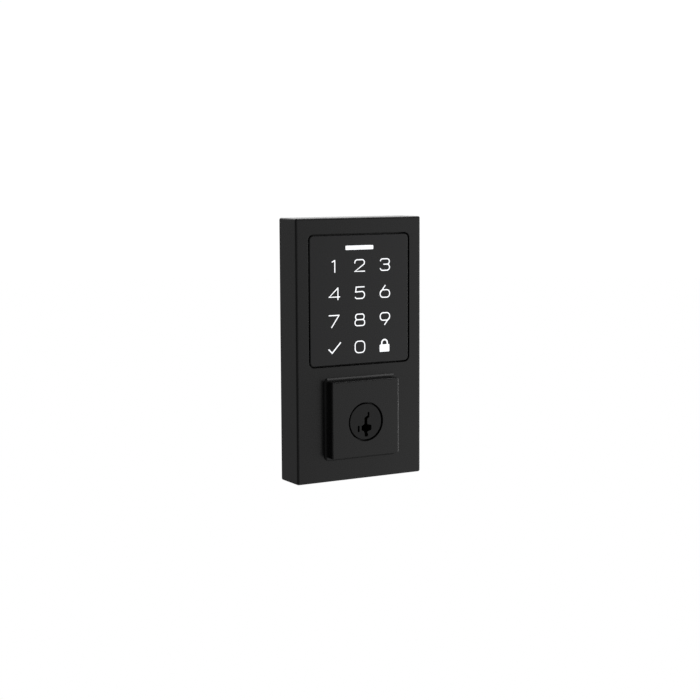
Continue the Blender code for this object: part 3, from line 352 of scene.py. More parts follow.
def finish_look(name, colour, roughness, metallic=0.0, spread=0.12, rough_spread=0.05, blotch=90.0,
                grain=2600.0, bump=0.004, stretch=(1.0, 1.0, 1.0), rings=False, **constants):
    """A base colour that drifts a little, with grain in its roughness and its relief.

    blotch and grain are features per metre, bump is the relief in millimetres, stretch draws the
    grain out along an axis, and rings replaces it by turning marks round the key cylinder's axis.
    """
    look = bpy.data.materials.new(name)
    look.use_nodes = True
    tree = look.node_tree
    shader = tree.nodes["Principled BSDF"]
    place = add_node(tree, "ShaderNodeTexCoord").outputs["Object"]
    drawn = add_node(tree, "ShaderNodeMapping", {"Vector": place, "Scale": stretch}).outputs["Vector"]
    if rings:
        drawn = radius_about_axis(tree, place)
    wide = noise(tree, place, blotch, 4.0)
    fine = noise(tree, drawn, grain, 3.0)
    base = add_node(tree, "ShaderNodeMix", data_type="RGBA")
    tree.links.new(remap(tree, wide, 0.0, 1.0), base.inputs["Factor"])
    base.inputs["A"].default_value = tint(colour, 1 - spread)
    base.inputs["B"].default_value = tint(colour, 1 + spread)
    tree.links.new(base.outputs["Result"], shader.inputs["Base Color"])
    mixed = add_node(tree, "ShaderNodeMath", {0: fine, 1: wide}, operation="ADD").outputs["Value"]
    rough = remap(tree, mixed, roughness - rough_spread, roughness + rough_spread, 0.7, 1.3)
    tree.links.new(rough, shader.inputs["Roughness"])
    relief = add_node(tree, "ShaderNodeBump", {"Strength": 1.0, "Distance": bump * MM, "Height": fine})
    tree.links.new(relief.outputs["Normal"], shader.inputs["Normal"])
    shader.inputs["Metallic"].default_value = metallic
    for socket, value in constants.items():
        shader.inputs[socket.replace("_", " ")].default_value = value
    return look


def radius_about_axis(tree, place):
    """A coordinate that only changes with the distance from the key cylinder's axis."""
    parts = add_node(tree, "ShaderNodeSeparateXYZ", {"Vector": place})
    height = add_node(tree, "ShaderNodeMath", {0: parts.outputs["Z"], 1: AXIS_Z}, operation="SUBTRACT")
    flat = add_node(tree, "ShaderNodeCombineXYZ", {"X": parts.outputs["X"], "Y": height.outputs["Value"]})
    length = add_node(tree, "ShaderNodeVectorMath", {0: flat.outputs["Vector"]}, operation="LENGTH")
    return add_node(
        tree, "ShaderNodeCombineXYZ", {"X": length.outputs["Value"], "Y": parts.outputs["Y"]}
    ).outputs["Vector"]


def glow_look(name, colour, strength):
    """Backlit white plastic: even light with a faint mottle of the diffuser behind it."""
    look = finish_look(name, colour, 0.35, spread=0.03, grain=1500.0, bump=0.001)
    tree = look.node_tree
    shader = tree.nodes["Principled BSDF"]
    place = add_node(tree, "ShaderNodeTexCoord").outputs["Object"]
    mottle = remap(tree, noise(tree, place, 500.0), strength * 0.94, strength * 1.04)
    tree.links.new(mottle, shader.inputs["Emission Strength"])
    shader.inputs["Emission Color"].default_value = (*colour, 1.0)
    return look


PAINT = finish_look("satin_black_coat", (0.0125, 0.0125, 0.0130), 0.27, spread=0.10, rough_spread=0.03,
                    grain=3200.0, bump=0.0035)
PANEL = finish_look("black_touch_panel", (0.0185, 0.0185, 0.0200), 0.25, spread=0.06, rough_spread=0.02,
                    grain=5200.0, bump=0.0012)
PLUG_FACE = finish_look("black_plug", (0.0130, 0.0130, 0.0135), 0.36, metallic=0.25, grain=5200.0,
                        bump=0.0035, rings=True)
GLOW = glow_look("backlit_white", (0.96, 0.98, 1.0), 0.95)
STEEL = finish_look("zinc_plated_steel", (0.56, 0.57, 0.58), 0.34, metallic=1.0, spread=0.10,
                    rough_spread=0.08, grain=2200.0, bump=0.003)
BRUSHED = finish_look("brushed_steel", (0.50, 0.505, 0.51), 0.38, metallic=1.0, spread=0.05,
                      rough_spread=0.06, blotch=60.0, grain=220.0, bump=0.0015, stretch=(18.0, 1.0, 18.0))
TURNED = finish_look("turned_steel", (0.57, 0.575, 0.58), 0.30, metallic=1.0, rough_spread=0.08,
                     grain=5200.0, bump=0.004, rings=True)
SPRING = finish_look("spring_wire", (0.48, 0.49, 0.50), 0.28, metallic=1.0, grain=6000.0, bump=0.001)
BRASS = finish_look("machined_brass", (0.72, 0.54, 0.25), 0.30, metallic=1.0, rough_spread=0.08,
                    grain=4000.0, bump=0.003, stretch=(1.0, 1.0, 6.0))
ZINC = finish_look("die_cast_zinc", (0.50, 0.51, 0.52), 0.45, metallic=1.0, spread=0.14,
                   rough_spread=0.08, grain=1700.0, bump=0.006)
BOARD = finish_look("solder_mask", (0.012, 0.11, 0.045), 0.38, spread=0.25, blotch=600.0, grain=1500.0,
                    bump=0.003)
CHIP = finish_look("moulded_package", (0.022, 0.022, 0.024), 0.55, grain=5200.0, bump=0.004)
CARRIER = finish_look("grey_moulding", (0.085, 0.085, 0.092), 0.50, grain=2600.0, bump=0.005)
HEADER = finish_look("ivory_moulding", (0.76, 0.74, 0.68), 0.45, spread=0.04, grain=2600.0, bump=0.003)
RUBBER = finish_look("foam_rubber", (0.022, 0.022, 0.022), 0.85, spread=0.22, grain=1500.0, bump=0.030,
                     Sheen_Weight=0.15)
CLEAR = finish_look("light_guide_acrylic", (0.86, 0.89, 0.91), 0.12, spread=0.02, grain=1500.0,
                    bump=0.001, Transmission_Weight=0.6)


# --- housing ------------------------------------------------------------------------------------
def make_housing():
    width = HOUSING_HIGH.x - HOUSING_LOW.x
    height = HOUSING_HIGH.z - HOUSING_LOW.z
    shell = block(width, height, HOUSING_EDGE, FACE_Y, HOUSING_HIGH.y, front_round=HOUSING_EDGE,
                  rear_round=HOUSING_REAR_EDGE)
    inner_x = width / 2 - SIDE_WALL
    inner_z = height / 2 - SIDE_WALL
    window_wall_low_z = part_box("keypad_board")[0].z - 1.0 * MM
    cavity = brick((-inner_x, WINDOW_WALL_REAR_Y, -inner_z), (inner_x, PAST, inner_z))
    lower = brick((-inner_x, FACE_Y + FACE_WALL, -inner_z), (inner_x, PAST, window_wall_low_z))
    shell = combine(shell, [cavity, lower])
    boss_rear = centre("keypad_board").y + 1.0 * MM
    columns = []
    holes = []
    for number in range(1, 5):
        for kind, radius, front, rear in (
            ("plate_screw", COLUMN_RADIUS, FACE_Y + FACE_WALL - OVERLAP, PLATE_LOW.y - GAP),
            ("carrier_screw", BOSS_RADIUS, WINDOW_WALL_REAR_Y - OVERLAP, boss_rear),
        ):
            spot = centre(f"{kind}_{number}")
            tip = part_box(f"{kind}_{number}")[0].y
            columns.append(rod(radius, front, rear, 32, (spot.x, spot.z)))
            holes.append(rod(PILOT_RADIUS, tip - PILOT_DEPTH, PAST, 24, (spot.x, spot.z)))
    shell = combine(shell, columns, "UNION")
    middle = (0.0, (PANEL_LOW.z + PANEL_HIGH.z) / 2)
    width = PANEL_HIGH.x - PANEL_LOW.x + 2 * PANEL_MARGIN
    height = PANEL_HIGH.z - PANEL_LOW.z + 2 * PANEL_MARGIN
    corner = PANEL_CORNER + PANEL_MARGIN
    recess = pocket(width, height, corner, FACE_Y, SEAL_REAR_Y + GAP, middle, RECESS_LIP)
    window = block(WINDOW_WIDTH, WINDOW_HEIGHT, WINDOW_CORNER, FACE_Y - PAST, WINDOW_WALL_REAR_Y + OVERLAP,
                   middle)
    size = NECK_SIZE + 2 * GAP
    neck = block(size, size, NECK_CORNER, FACE_Y - PAST, FACE_Y + FACE_WALL + OVERLAP, (0.0, AXIS_Z))
    shell = combine(shell, [*holes, recess, window, neck])
    piece("housing_shell", shell, PAINT, "housing", ["front_housing"])


def make_panel():
    middle = (0.0, (PANEL_LOW.z + PANEL_HIGH.z) / 2)
    panel = block(PANEL_HIGH.x - PANEL_LOW.x, PANEL_HIGH.z - PANEL_LOW.z, PANEL_CORNER, PANEL_LOW.y,
                  PANEL_HIGH.y, middle, PANEL_EDGE, PANEL_REAR_EDGE)
    lens_middle = (0.0, (LENS_LOW.z + LENS_HIGH.z) / 2)
    width = LENS_HIGH.x - LENS_LOW.x
    height = LENS_HIGH.z - LENS_LOW.z
    slot = block(width + 2 * LENS_MARGIN, height + 2 * LENS_MARGIN, LENS_SLOT_CORNER, PANEL_LOW.y - PAST,
                 PANEL_HIGH.y + PAST, lens_middle)
    piece("touch_panel_front", combine(panel, [slot]), PANEL, "housing", ["touch_panel"])
    lens = block(width, height, LENS_CORNER, LENS_LOW.y, LENS_HIGH.y, lens_middle, LENS_EDGE, LENS_REAR_EDGE)
    piece("status_lens", lens, GLOW, "housing", ["status_light_lens"])


# --- legend -------------------------------------------------------------------------------------
LEGEND_X = 14.0 * MM
LEGEND_TOP_Z = 40.1 * MM
LEGEND_PITCH_Z = 13.0 * MM
LEGEND_PROUD = 0.012 * MM
LEGEND_DEPTH = 0.10 * MM  # how far the legend is let into the panel
STROKE = 0.52  # this and the sizes of the signs below are in millimetres
HALF_X = 2.65  # from a digit's middle to the middle of its outer stroke
HALF_Z = 2.76


def ribbon(points, width=STROKE, closed=False):
    """A flat stroke of one width along points in millimetres, with round ends."""
    path = [Vector(point) for point in points]
    count = len(path)
    left, right = [], []
    for i, point in enumerate(path):
        before = path[i - 1] if i or closed else point
        after = path[(i + 1) % count] if i < count - 1 or closed else point
        along_in = (point - before).normalized() if (point - before).length else (after - point).normalized()
        along_out = (after - point).normalized() if (after - point).length else along_in
        along = (along_in + along_out).normalized()
        side = Vector((-along.y, along.x))
        reach = width / 2 / max(0.5, along.dot(along_out))
        left.append(point + side * reach)
        right.append(point - side * reach)
    if closed:
        return [left, right]
    return [left + cap(path[-1], path[-2], width) + right[::-1] + cap(path[0], path[1], width)]


def cap(tip, inner, width):
    """The round end of a stroke, from its left side to its right as seen along the stroke."""
    steps = 6
    start = math.atan2((tip - inner).y, (tip - inner).x)
    turn = [start + math.pi / 2 - math.pi * step / steps for step in range(1, steps)]
    return [tip + width / 2 * Vector((math.cos(a), math.sin(a))) for a in turn]


def stroke_solid(outlines, middle, front, rear):
    """A sign's stroke: one outline filled, or the ring between two."""
    placed = [[(x * MM + middle[0], z * MM + middle[1]) for x, z in outline] for outline in outlines]
    if len(placed) == 1:
        return extrude(placed[0], front, rear)
    outer, inner = sorted(placed, key=lambda outline: -max(x for x, z in outline))
    return combine(extrude(outer, front, rear), [extrude(inner, front - PAST, rear + PAST)])


def closed_box(half_x, low, high, radius):
    """A closed stroke round a rounded rectangle, centred on x = 0."""
    outline = rounded_outline(2 * half_x, high - low, radius, 7)
    return ribbon([(x, z + (low + high) / 2) for x, z in outline], closed=True)


def sign_strokes():
    """The legend's signs row by row, each a list of strokes, each stroke a list of outlines."""
    a, b = HALF_X, HALF_Z
    bowl = 1.32
    two = [(-a, b - 1.5)] + arc(-a + bowl, b - bowl, bowl, 180, 90) + arc(a - bowl, b - bowl, bowl, 90, -48)
    three_top = arc(-a + 1.35, b - 1.2, 1.2, 165, 90) + arc(a - 1.40, b - 1.3, 1.3, 90, -90) + [(-0.6, 0.16)]
    three_low = [(0.4, 0.16)] + arc(a - 1.46, -b + 1.46, 1.46, 90, -90)
    three_low += arc(-a + 1.3, -b + 1.2, 1.2, -90, -165)
    five = [(2.45, b), (-1.95, b), (-2.25, 0.42)] + arc(0.95, -b + 1.70, 1.70, 75, -90, 12)
    five += arc(-a + 1.2, -b + 1.1, 1.1, -90, -155, 5)
    return {
        "1": [ribbon([(-1.0, 2.1), (0.42, b), (0.42, -b)])],
        "2": [ribbon(two + [(-a, -b), (a + 0.05, -b)])],
        "3": [ribbon(three_top), ribbon(three_low)],
        "4": [ribbon([(2.05, b), (-2.7, -1.5), (3.0, -1.5)]), ribbon([(2.05, b), (2.05, -b)])],
        "5": [ribbon(five)],
        "6": [closed_box(a, -b, 0.85, 1.62), ribbon([(-2.45, -0.30), (0.15, 2.95)])],
        "7": [ribbon([(-2.8, b), (2.6, b)]), ribbon([(2.6, b), (-1.45, -2.9)])],
        "8": [closed_box(a - 0.3, 0.10, b, 1.15), closed_box(a, -b, 0.10, 1.25)],
        "9": [closed_box(a, -0.85, b, 1.62), ribbon([(2.45, 0.30), (-0.15, -2.95)])],
        "tick": [ribbon([(-3.0, -0.4), (-1.25, -2.15), (3.35, 2.65)], 0.58)],
        "0": [closed_box(a, -b, b, 1.85)],
        "padlock": [
            [moved(rounded_outline(5.45, 3.55, 0.35, 4), (-0.27, -1.35))],
            ribbon([(-1.82, -0.4)] + arc(-0.27, 1.20, 1.55, 180, 0, 12) + [(1.28, -0.4)], 0.72),
        ],
    }


def make_legend():
    front = PANEL_LOW.y - LEGEND_PROUD
    rear = PANEL_LOW.y + LEGEND_DEPTH
    for place, (sign, strokes) in enumerate(sign_strokes().items()):
        middle = ((place % 3 - 1) * LEGEND_X, LEGEND_TOP_Z - place // 3 * LEGEND_PITCH_Z)
        solids = [stroke_solid(outlines, middle, front, rear) for outlines in strokes]
        mesh = combine(solids[0], solids[1:], "UNION") if len(solids) > 1 else solids[0]
        piece(f"legend_{sign}", mesh, GLOW, "housing")


# --- key cylinder -------------------------------------------------------------------------------
def make_guard():
    front = GUARD_LOW.y
    face = FACE_Y - GAP
    middle = (0.0, (GUARD_LOW.z + GUARD_HIGH.z) / 2)
    foot_size = GUARD_SIZE + 2 * FOOT_WIDTH
    foot_front = face - FOOT_HEIGHT
    foot = block(foot_size, foot_size, FOOT_WIDTH, foot_front, face, middle, FOOT_CHAMFER, steps=1)
    guard = block(GUARD_SIZE, GUARD_SIZE, GUARD_EDGE, front, foot_front + OVERLAP, middle, GUARD_EDGE)
    neck = block(NECK_SIZE, NECK_SIZE, NECK_CORNER, face - OVERLAP, GUARD_HIGH.y, (0.0, AXIS_Z))
    guard = combine(foot, [guard, neck], "UNION")
    bore = [(0, front - PAST), (PLUG_HOLE_RADIUS, front - PAST), (PLUG_HOLE_RADIUS, front + GUARD_LIP),
            (BODY_RADIUS + GAP, front + GUARD_LIP), (BODY_RADIUS + GAP, PAST), (0, PAST)]
    holes = [lathe(bore, FINE, (0.0, AXIS_Z))]
    for number in (1, 2):
        spot = centre(f"cylinder_screw_{number}")
        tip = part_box(f"cylinder_screw_{number}")[0].y
        holes.append(rod(SCREW_HOLE_RADIUS, tip - OVERLAP, PAST, 24, (spot.x, spot.z)))
    piece("guard_block", combine(guard, holes), PAINT, "housing", ["cylinder_guard"])


def keyway_outline():
    """The keyway's section about the cylinder's axis, in millimetres."""
    return [
        (-0.45, -7.1), (-0.25, -7.3), (1.05, -7.3), (1.25, -7.1), (1.25, -5.9), (0.75, -5.0), (2.9, -4.3),
        (3.2, -4.0), (3.2, -2.1), (2.9, -1.8), (0.9, -1.3), (0.9, 1.2), (2.0, 2.1), (2.1, 2.4), (2.1, 4.3),
        (1.9, 4.5), (1.3, 4.5), (1.1, 4.3), (1.1, 2.9), (-0.7, 1.9), (-0.7, -1.2), (-2.1, -1.9), (-2.3, -2.1),
        (-2.3, -3.8), (-2.1, -4.1), (-1.0, -4.6), (-0.7, -5.4),
    ]


def make_plug():
    front = PLUG_LOW.y
    shoulder = GUARD_LOW.y + GUARD_LIP
    neck_radius = 7.6 * MM
    rim = 0.25 * MM
    mouth_edge = 0.14 * MM
    keyway_end = PIN_YS[-1] + 7.6 * MM
    tool_slot = rounded_outline(1.0 * MM, 3.1 * MM, 0.35 * MM, 3)
    tool_slot_middle = (-3.9 * MM, AXIS_Z - 3.25 * MM)
    tool_slot_end = front + 9 * MM
    profile = [(0, front)]
    profile += [(PLUG_HEAD_RADIUS - rim * (1 - math.sin(a)), front + rim * (1 - math.cos(a)))
                for a in (math.pi / 2 * step / 4 for step in range(5))]
    profile += [(PLUG_HEAD_RADIUS, shoulder), (PLUG_RADIUS, shoulder), (PLUG_RADIUS, BODY_HIGH.y),
                (neck_radius, BODY_HIGH.y), (neck_radius, PLUG_HIGH.y), (0, PLUG_HIGH.y)]
    plug = lathe(profile, FINE, (0.0, AXIS_Z))
    keyway = [(x * MM, z * MM) for x, z in keyway_outline()]
    mesh = combine(plug, [
        extrude(keyway, front - PAST, keyway_end, (0.0, AXIS_Z)),
        extrude(tool_slot, front - PAST, tool_slot_end, tool_slot_middle),
    ])
    inside = PLUG_HEAD_RADIUS - 2 * rim

    def at_mouth(edge):
        ends = [v.co for v in edge.verts]
        flat = all(abs(p.y - front) < 0.01 * MM for p in ends)
        return flat and all(math.hypot(p.x, p.z - AXIS_Z) < inside for p in ends)

    mesh = bevel_where(mesh, at_mouth, mouth_edge)
    mesh = combine(mesh, plug_chambers())
    piece("plug_turned", mesh, PLUG_FACE, "plug", ["plug"])


def plug_chambers():
    """Cutters for the pins, wafers, side bar, springs and the tailpiece's drive."""
    cover_low, cover_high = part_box("spring_cover")
    bar_low, bar_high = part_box("side_bar")
    travel = JOINTS["pin_slide_1"]["range_m"][1]
    outside = 12 * MM  # from the axis to past the plug's surface
    chamber_radius = 1.35 * MM
    spring_pocket_radius = 0.75 * MM
    room = 0.4 * MM  # past the end of a pin or a side bar's spring
    gaps = Vector((GAP, GAP, GAP))
    cutters = [
        brick(cover_low - gaps, (cover_high.x + GAP, cover_high.y + GAP, AXIS_Z + outside)),
        brick(bar_low - Vector((room, GAP, GAP)), (outside, bar_high.y + GAP, bar_high.z + GAP)),
    ]
    upright = Matrix.Rotation(math.pi / 2, 4, "X")
    for number, y in enumerate(PIN_YS, 1):
        pin_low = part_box(f"pin_{number}")[0]
        wafer_low, wafer_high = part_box(f"wafer_{number}")
        chamber = rod(chamber_radius, 0.0, cover_high.z - pin_low.z + room, 24)
        chamber.transform(Matrix.Translation((0, y, pin_low.z - room)) @ upright)
        cutters.append(chamber)
        slot_low = wafer_low - Vector((2 * GAP, GAP, GAP))
        slot_high = (wafer_high.x + 2 * GAP, wafer_high.y + GAP, wafer_high.z + travel + GAP)
        cutters.append(brick(slot_low, slot_high))
    sideways = Matrix.Rotation(-math.pi / 2, 4, "Z")
    for number in (1, 2):
        low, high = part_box(f"side_bar_spring_{number}")
        side_pocket = rod(spring_pocket_radius, 0.0, high.x - low.x + room, 20)
        middle = (low + high) / 2
        side_pocket.transform(Matrix.Translation((low.x - 0.1 * MM, middle.y, middle.z)) @ sideways)
        cutters.append(side_pocket)
    floor = JOINTS["tailpiece_play"]["pos_m"][1]
    recess_radius = 5.4 * MM
    lug_inner_radius = 2.8 * MM
    lug_height = 2.1 * MM
    lug = arc(0, 0, recess_radius + OVERLAP, -135, -45, 10) + arc(0, 0, lug_inner_radius, -45, -135, 8)
    recess = rod(recess_radius, floor, PLUG_HIGH.y + PAST, 64, (0.0, AXIS_Z))
    cutters.append(combine(recess, [extrude(lug, floor - OVERLAP, floor + lug_height, (0.0, AXIS_Z))]))
    return cutters


def make_cylinder_body():
    rim = 0.25 * MM
    low, high = BODY_LOW.y, BODY_HIGH.y
    profile = [(BODY_RADIUS - rim, low), (BODY_RADIUS, low + rim), (BODY_RADIUS, high - rim),
               (BODY_RADIUS - rim, high), (BODY_BORE_RADIUS + rim, high), (BODY_BORE_RADIUS, high - rim),
               (BODY_BORE_RADIUS, low + rim), (BODY_BORE_RADIUS + rim, low)]
    tube = lathe(profile, FINE, (0.0, AXIS_Z), closed=True)
    size = BODY_HIGH.x - BODY_LOW.x
    flange_corner = 3.0 * MM
    flange_edge = 0.2 * MM
    front = FACE_Y + FACE_WALL + GAP
    rear = front + 2.4 * MM
    flange = block(size, size, flange_corner, front, rear, (0.0, AXIS_Z), flange_edge, flange_edge)
    flange = combine(flange, [rod(BODY_RADIUS - OVERLAP, front - PAST, rear + PAST, FINE, (0.0, AXIS_Z))])
    bar_low, bar_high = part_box("side_bar")
    groove_depth = 1.5 * MM
    groove = brick((BODY_BORE_RADIUS - groove_depth, bar_low.y, bar_low.z - GAP),
                   (BODY_BORE_RADIUS + groove_depth, bar_high.y, bar_high.z + GAP))
    holes = [groove]
    for number in (1, 2):
        spot = centre(f"cylinder_screw_{number}")
        holes.append(rod(SCREW_HOLE_RADIUS, low - PAST, rear + 1.2 * MM, 24, (spot.x, spot.z)))
    body = combine(combine(tube, [flange], "UNION"), holes)
    shell = piece("cylinder_shell", body, ZINC, "housing", ["cylinder_body"])
    # Painted shade: the zinc body's front face gets the black coat, so the gap ring round the plug stays dark
    # instead of catching light.
    shell.data.materials.append(PAINT)
    for face in shell.data.polygons:
        if face.center.y < low + rim and face.normal.y < 0:
            face.material_index = 1  # painted shade: the zinc front takes the black coat so the gap round the plug reads dark


def make_retainer():
    low, high = RETAINER_LOW.y, RETAINER_HIGH.y
    radius = RETAINER_HIGH.x
    rim = 0.3 * MM
    mouth_radius = 4.2 * MM
    inner_radius = 7.9 * MM
    step = PLUG_HIGH.y + GAP
    profile = [(mouth_radius, high)]
    profile += [(radius - rim * (1 - math.cos(a)), high - rim * (1 - math.sin(a)))
                for a in (math.pi / 2 * (1 - s / 4) for s in range(5))]
    profile += [(radius, low), (inner_radius, low), (inner_radius, step), (mouth_radius, step)]
    retainer = lathe(profile, FINE, (0.0, AXIS_Z), closed=True)
    piece("retainer_cap", retainer, TURNED, "plug", ["plug_retainer"])


def make_tailpiece():
    """A half-round head and a hub inside the plug, and behind them a blade with clipped corners."""
    floor = JOINTS["tailpiece_play"]["pos_m"][1] + GAP
    rear = PLUG_HIGH.y - 0.2 * MM
    head = [(0.0, 0.0)] + arc(0, 0, 5.1 * MM, -43, 133, 36)
    hub_radius = 2.4 * MM
    hub_inset = 0.2 * MM
    half_height = 3.5 * MM
    half_thickness = 1.2 * MM
    tip = 1.4 * MM
    start = 12.2 * MM
    end = TAIL_END_Y
    clear_of_head = rear + 0.5 * MM
    blade_edge = 0.16 * MM
    tail = extrude(head, floor, rear, (0.0, AXIS_Z))
    hub = rod(hub_radius, floor + hub_inset, rear - hub_inset, 48, (0.0, AXIS_Z))
    outline = [
        (start, -half_height),
        (start, half_height),
        (end - tip, half_height),
        (end, half_height - tip),
        (end, tip - half_height),
        (end - tip, -half_height),
    ]
    shape = bmesh.new()
    face = shape.faces.new([shape.verts.new((-half_thickness, y, z + AXIS_Z)) for y, z in outline])
    grown = bmesh.ops.extrude_face_region(shape, geom=[face])
    far_side = [v for v in grown["geom"] if isinstance(v, bmesh.types.BMVert)]
    bmesh.ops.translate(shape, verts=far_side, vec=(2 * half_thickness, 0, 0))
    tail = combine(tail, [hub, to_mesh(shape)], "UNION")

    def on_blade(edge):
        sharp = edge.calc_face_angle(0) > math.radians(50)
        return sharp and min(v.co.y for v in edge.verts) > clear_of_head

    tail = bevel_where(tail, on_blade, blade_edge)
    piece("tail_blade", tail, BRUSHED, "tailpiece", ["tailpiece"])


def make_spring(name, node, axis, wire, turns):
    """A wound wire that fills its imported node's box, with its last turns closed up."""
    low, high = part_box(node)
    middle = (low + high) / 2
    across = (high.x - low.x) if axis == "Z" else (high.z - low.z)
    length = (high.z - low.z) if axis == "Z" else (high.x - low.x)
    radius = across / 2 - wire
    per_turn = 20
    closing = 0.06  # how much the end turns are drawn together
    count = turns * per_turn
    curve = bpy.data.curves.new(name, "CURVE")
    curve.dimensions = "3D"
    curve.bevel_depth = wire
    curve.bevel_resolution = 2
    curve.use_fill_caps = True
    spline = curve.splines.new("POLY")
    spline.points.add(count)
    for index, point in enumerate(spline.points):
        share = index / count
        eased = share - closing * math.sin(2 * math.pi * share)
        angle = 2 * math.pi * index / per_turn
        height = -length / 2 + wire + (length - 2 * wire) * eased
        point.co = (radius * math.cos(angle), radius * math.sin(angle), height, 1.0)
    holder = bpy.data.objects.new(name, curve)
    bpy.context.scene.collection.objects.link(holder)
    bpy.context.view_layer.update()
    mesh = bpy.data.meshes.new_from_object(holder.evaluated_get(bpy.context.evaluated_depsgraph_get()))
    bpy.data.objects.remove(holder)
    turn = Matrix.Rotation(math.pi / 2, 4, "Y") if axis == "X" else Matrix.Identity(4)
    mesh.transform(Matrix.Translation(middle) @ turn)
    shape = bmesh.new()
    shape.from_mesh(mesh)
    return piece(name, to_mesh(shape), SPRING, "plug", [node])


def make_springs():
    for number in range(1, 6):
        node = f"pin_spring_{number}"
        spring = make_spring(f"coil_spring_{number}", node, "Z", 0.15 * MM, 6)
        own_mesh(spring)
    for number in (1, 2):
        make_spring(f"bar_spring_{number}", f"side_bar_spring_{number}", "X", 0.11 * MM, 5)


# --- door side ----------------------------------------------------------------------------------
def door_side_holes(front, rear, body_margin, cable_margin, post_margin):
    """Cutters for the cylinder, the cable and the two posts, each with its own margin."""
    width = OUTLET_WIDTH + 2 * cable_margin
    height = OUTLET_HEIGHT + 2 * cable_margin
    post_radius = POST_RADIUS + post_margin
    holes = [
        rod(BODY_RADIUS + body_margin, front, rear, FINE, (0.0, AXIS_Z)),
        block(width, height, OUTLET_CORNER + cable_margin / 2, front, rear, (0.0, CABLE_Z)),
    ]
    holes += [rod(post_radius, front, rear, 48, (side * POST_X, AXIS_Z)) for side in (-1, 1)]
    return holes


def make_back_plate():
    width = PLATE_HIGH.x - PLATE_LOW.x
    height = PLATE_HIGH.z - PLATE_LOW.z
    corner = 1.0 * MM
    edge = 0.12 * MM
    body_margin = 0.8 * MM
    cable_margin = 1.5 * MM
    plate = block(width, height, corner, PLATE_LOW.y, PLATE_HIGH.y, (0, 0), edge, edge, 4)
    holes = door_side_holes(PLATE_LOW.y - PAST, PAST, body_margin, cable_margin, GAP)
    for number in range(1, 5):
        spot = centre(f"plate_screw_{number}")
        holes.append(rod(SCREW_HOLE_RADIUS, PLATE_LOW.y - PAST, PAST, 24, (spot.x, spot.z)))
    piece("stamped_back_plate", combine(plate, holes), STEEL, "housing", ["back_plate"])


def make_gasket():
    width = GASKET_HIGH.x - GASKET_LOW.x
    height = GASKET_HIGH.z - GASKET_LOW.z
    corner = 1.5 * MM
    front_edge = 0.05 * MM
    rear_edge = 0.15 * MM
    body_margin = 1.2 * MM
    cable_margin = 2.8 * MM
    post_margin = 0.4 * MM
    head_hole_radius = 2.5 * MM
    sheet = block(width, height, corner, GASKET_LOW.y, GASKET_HIGH.y, (0, 0), front_edge, rear_edge, 4)
    holes = door_side_holes(-PAST, PAST, body_margin, cable_margin, post_margin)
    for number in range(1, 5):
        spot = centre(f"plate_screw_{number}")
        holes.append(rod(head_hole_radius, -PAST, PAST, 32, (spot.x, spot.z)))
    piece("foam_gasket", combine(sheet, holes), RUBBER, "housing", ["rear_gasket"])


def make_grommet():
    """A neck through the back plate between two collars."""
    middle = (0.0, CABLE_Z)
    inset = 0.2 * MM
    collar_width, collar_height, collar_corner = 14.4 * MM, 10.4 * MM, 2.45 * MM
    collar_depth = 1.0 * MM
    outer_edge = 0.3 * MM
    inner_edge = 0.1 * MM
    front, rear = GROMMET_LOW.y, GROMMET_HIGH.y
    neck = block(11.8 * MM, 7.8 * MM, 1.8 * MM, front + inset, rear - inset, middle)
    collars = [
        block(collar_width, collar_height, collar_corner, start, end, middle, front_edge, rear_edge)
        for start, end, front_edge, rear_edge in (
            (front, front + collar_depth, outer_edge, inner_edge),
            (rear - collar_depth, rear, inner_edge, outer_edge),
        )
    ]
    opening = block(OUTLET_WIDTH, OUTLET_HEIGHT, OUTLET_CORNER, front - PAST, rear + PAST, middle)
    grommet = combine(combine(neck, collars, "UNION"), [opening])
    piece("outlet_grommet", grommet, RUBBER, "housing", ["cable_grommet"])


def make_posts():
    """Threaded posts: the bore's thread is a row of fine grooves down its mouth."""
    front, end = (corner.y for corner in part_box("threaded_post_left"))
    edge = 0.35 * MM
    mouth_edge = 0.3 * MM
    collar_radius = 4.8 * MM
    collar_edge = 0.1 * MM
    collar_rear = PLATE_LOW.y - GAP
    bore_cone = 1.0 * MM
    bore_start = front + 5 * MM
    profile = [
        (POST_BORE_RADIUS + mouth_edge, end),
        (POST_RADIUS - edge, end),
        (POST_RADIUS - edge / 3, end - edge / 3),
        (POST_RADIUS, end - edge),
        (POST_RADIUS, collar_rear),
        (collar_radius - collar_edge, collar_rear),
        (collar_radius, collar_rear - collar_edge),
        (collar_radius, front + collar_edge),
        (collar_radius - collar_edge, front),
        (0, front),
        (0, bore_start - bore_cone),
        (POST_BORE_RADIUS, bore_start),
    ]
    pitch = 0.8 * MM
    depth = 0.22 * MM
    plain_end = 0.5 * MM
    start = bore_start + 1.0 * MM
    turns = int((end - plain_end - start) / pitch)
    for turn in range(turns):
        y = start + turn * pitch
        profile += [(POST_BORE_RADIUS, y), (POST_BORE_RADIUS + depth, y + pitch / 2)]
    profile += [(POST_BORE_RADIUS, start + turns * pitch), (POST_BORE_RADIUS + 0.05 * MM, end - mouth_edge)]
    for name, side in (("left", -1), ("right", 1)):
        mesh = lathe(profile, 64, (side * POST_X, AXIS_Z), closed=True)
        piece(f"post_{name}", mesh, STEEL, "housing", [f"threaded_post_{name}"])


def make_screws():
    """Pan-head screws with a cross recess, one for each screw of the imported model."""
    for kind, count, shank, height in (
        ("plate_screw", 4, 1.1 * MM, 1.3 * MM),
        ("carrier_screw", 4, 0.9 * MM, 1.1 * MM),
        ("cylinder_screw", 2, 1.1 * MM, 1.4 * MM),
    ):
        for number in range(1, count + 1):
            node = f"{kind}_{number}"
            mesh = screw_mesh(node, shank, height)
            piece(f"{kind}_head_{number}", mesh, STEEL, "housing", [node])


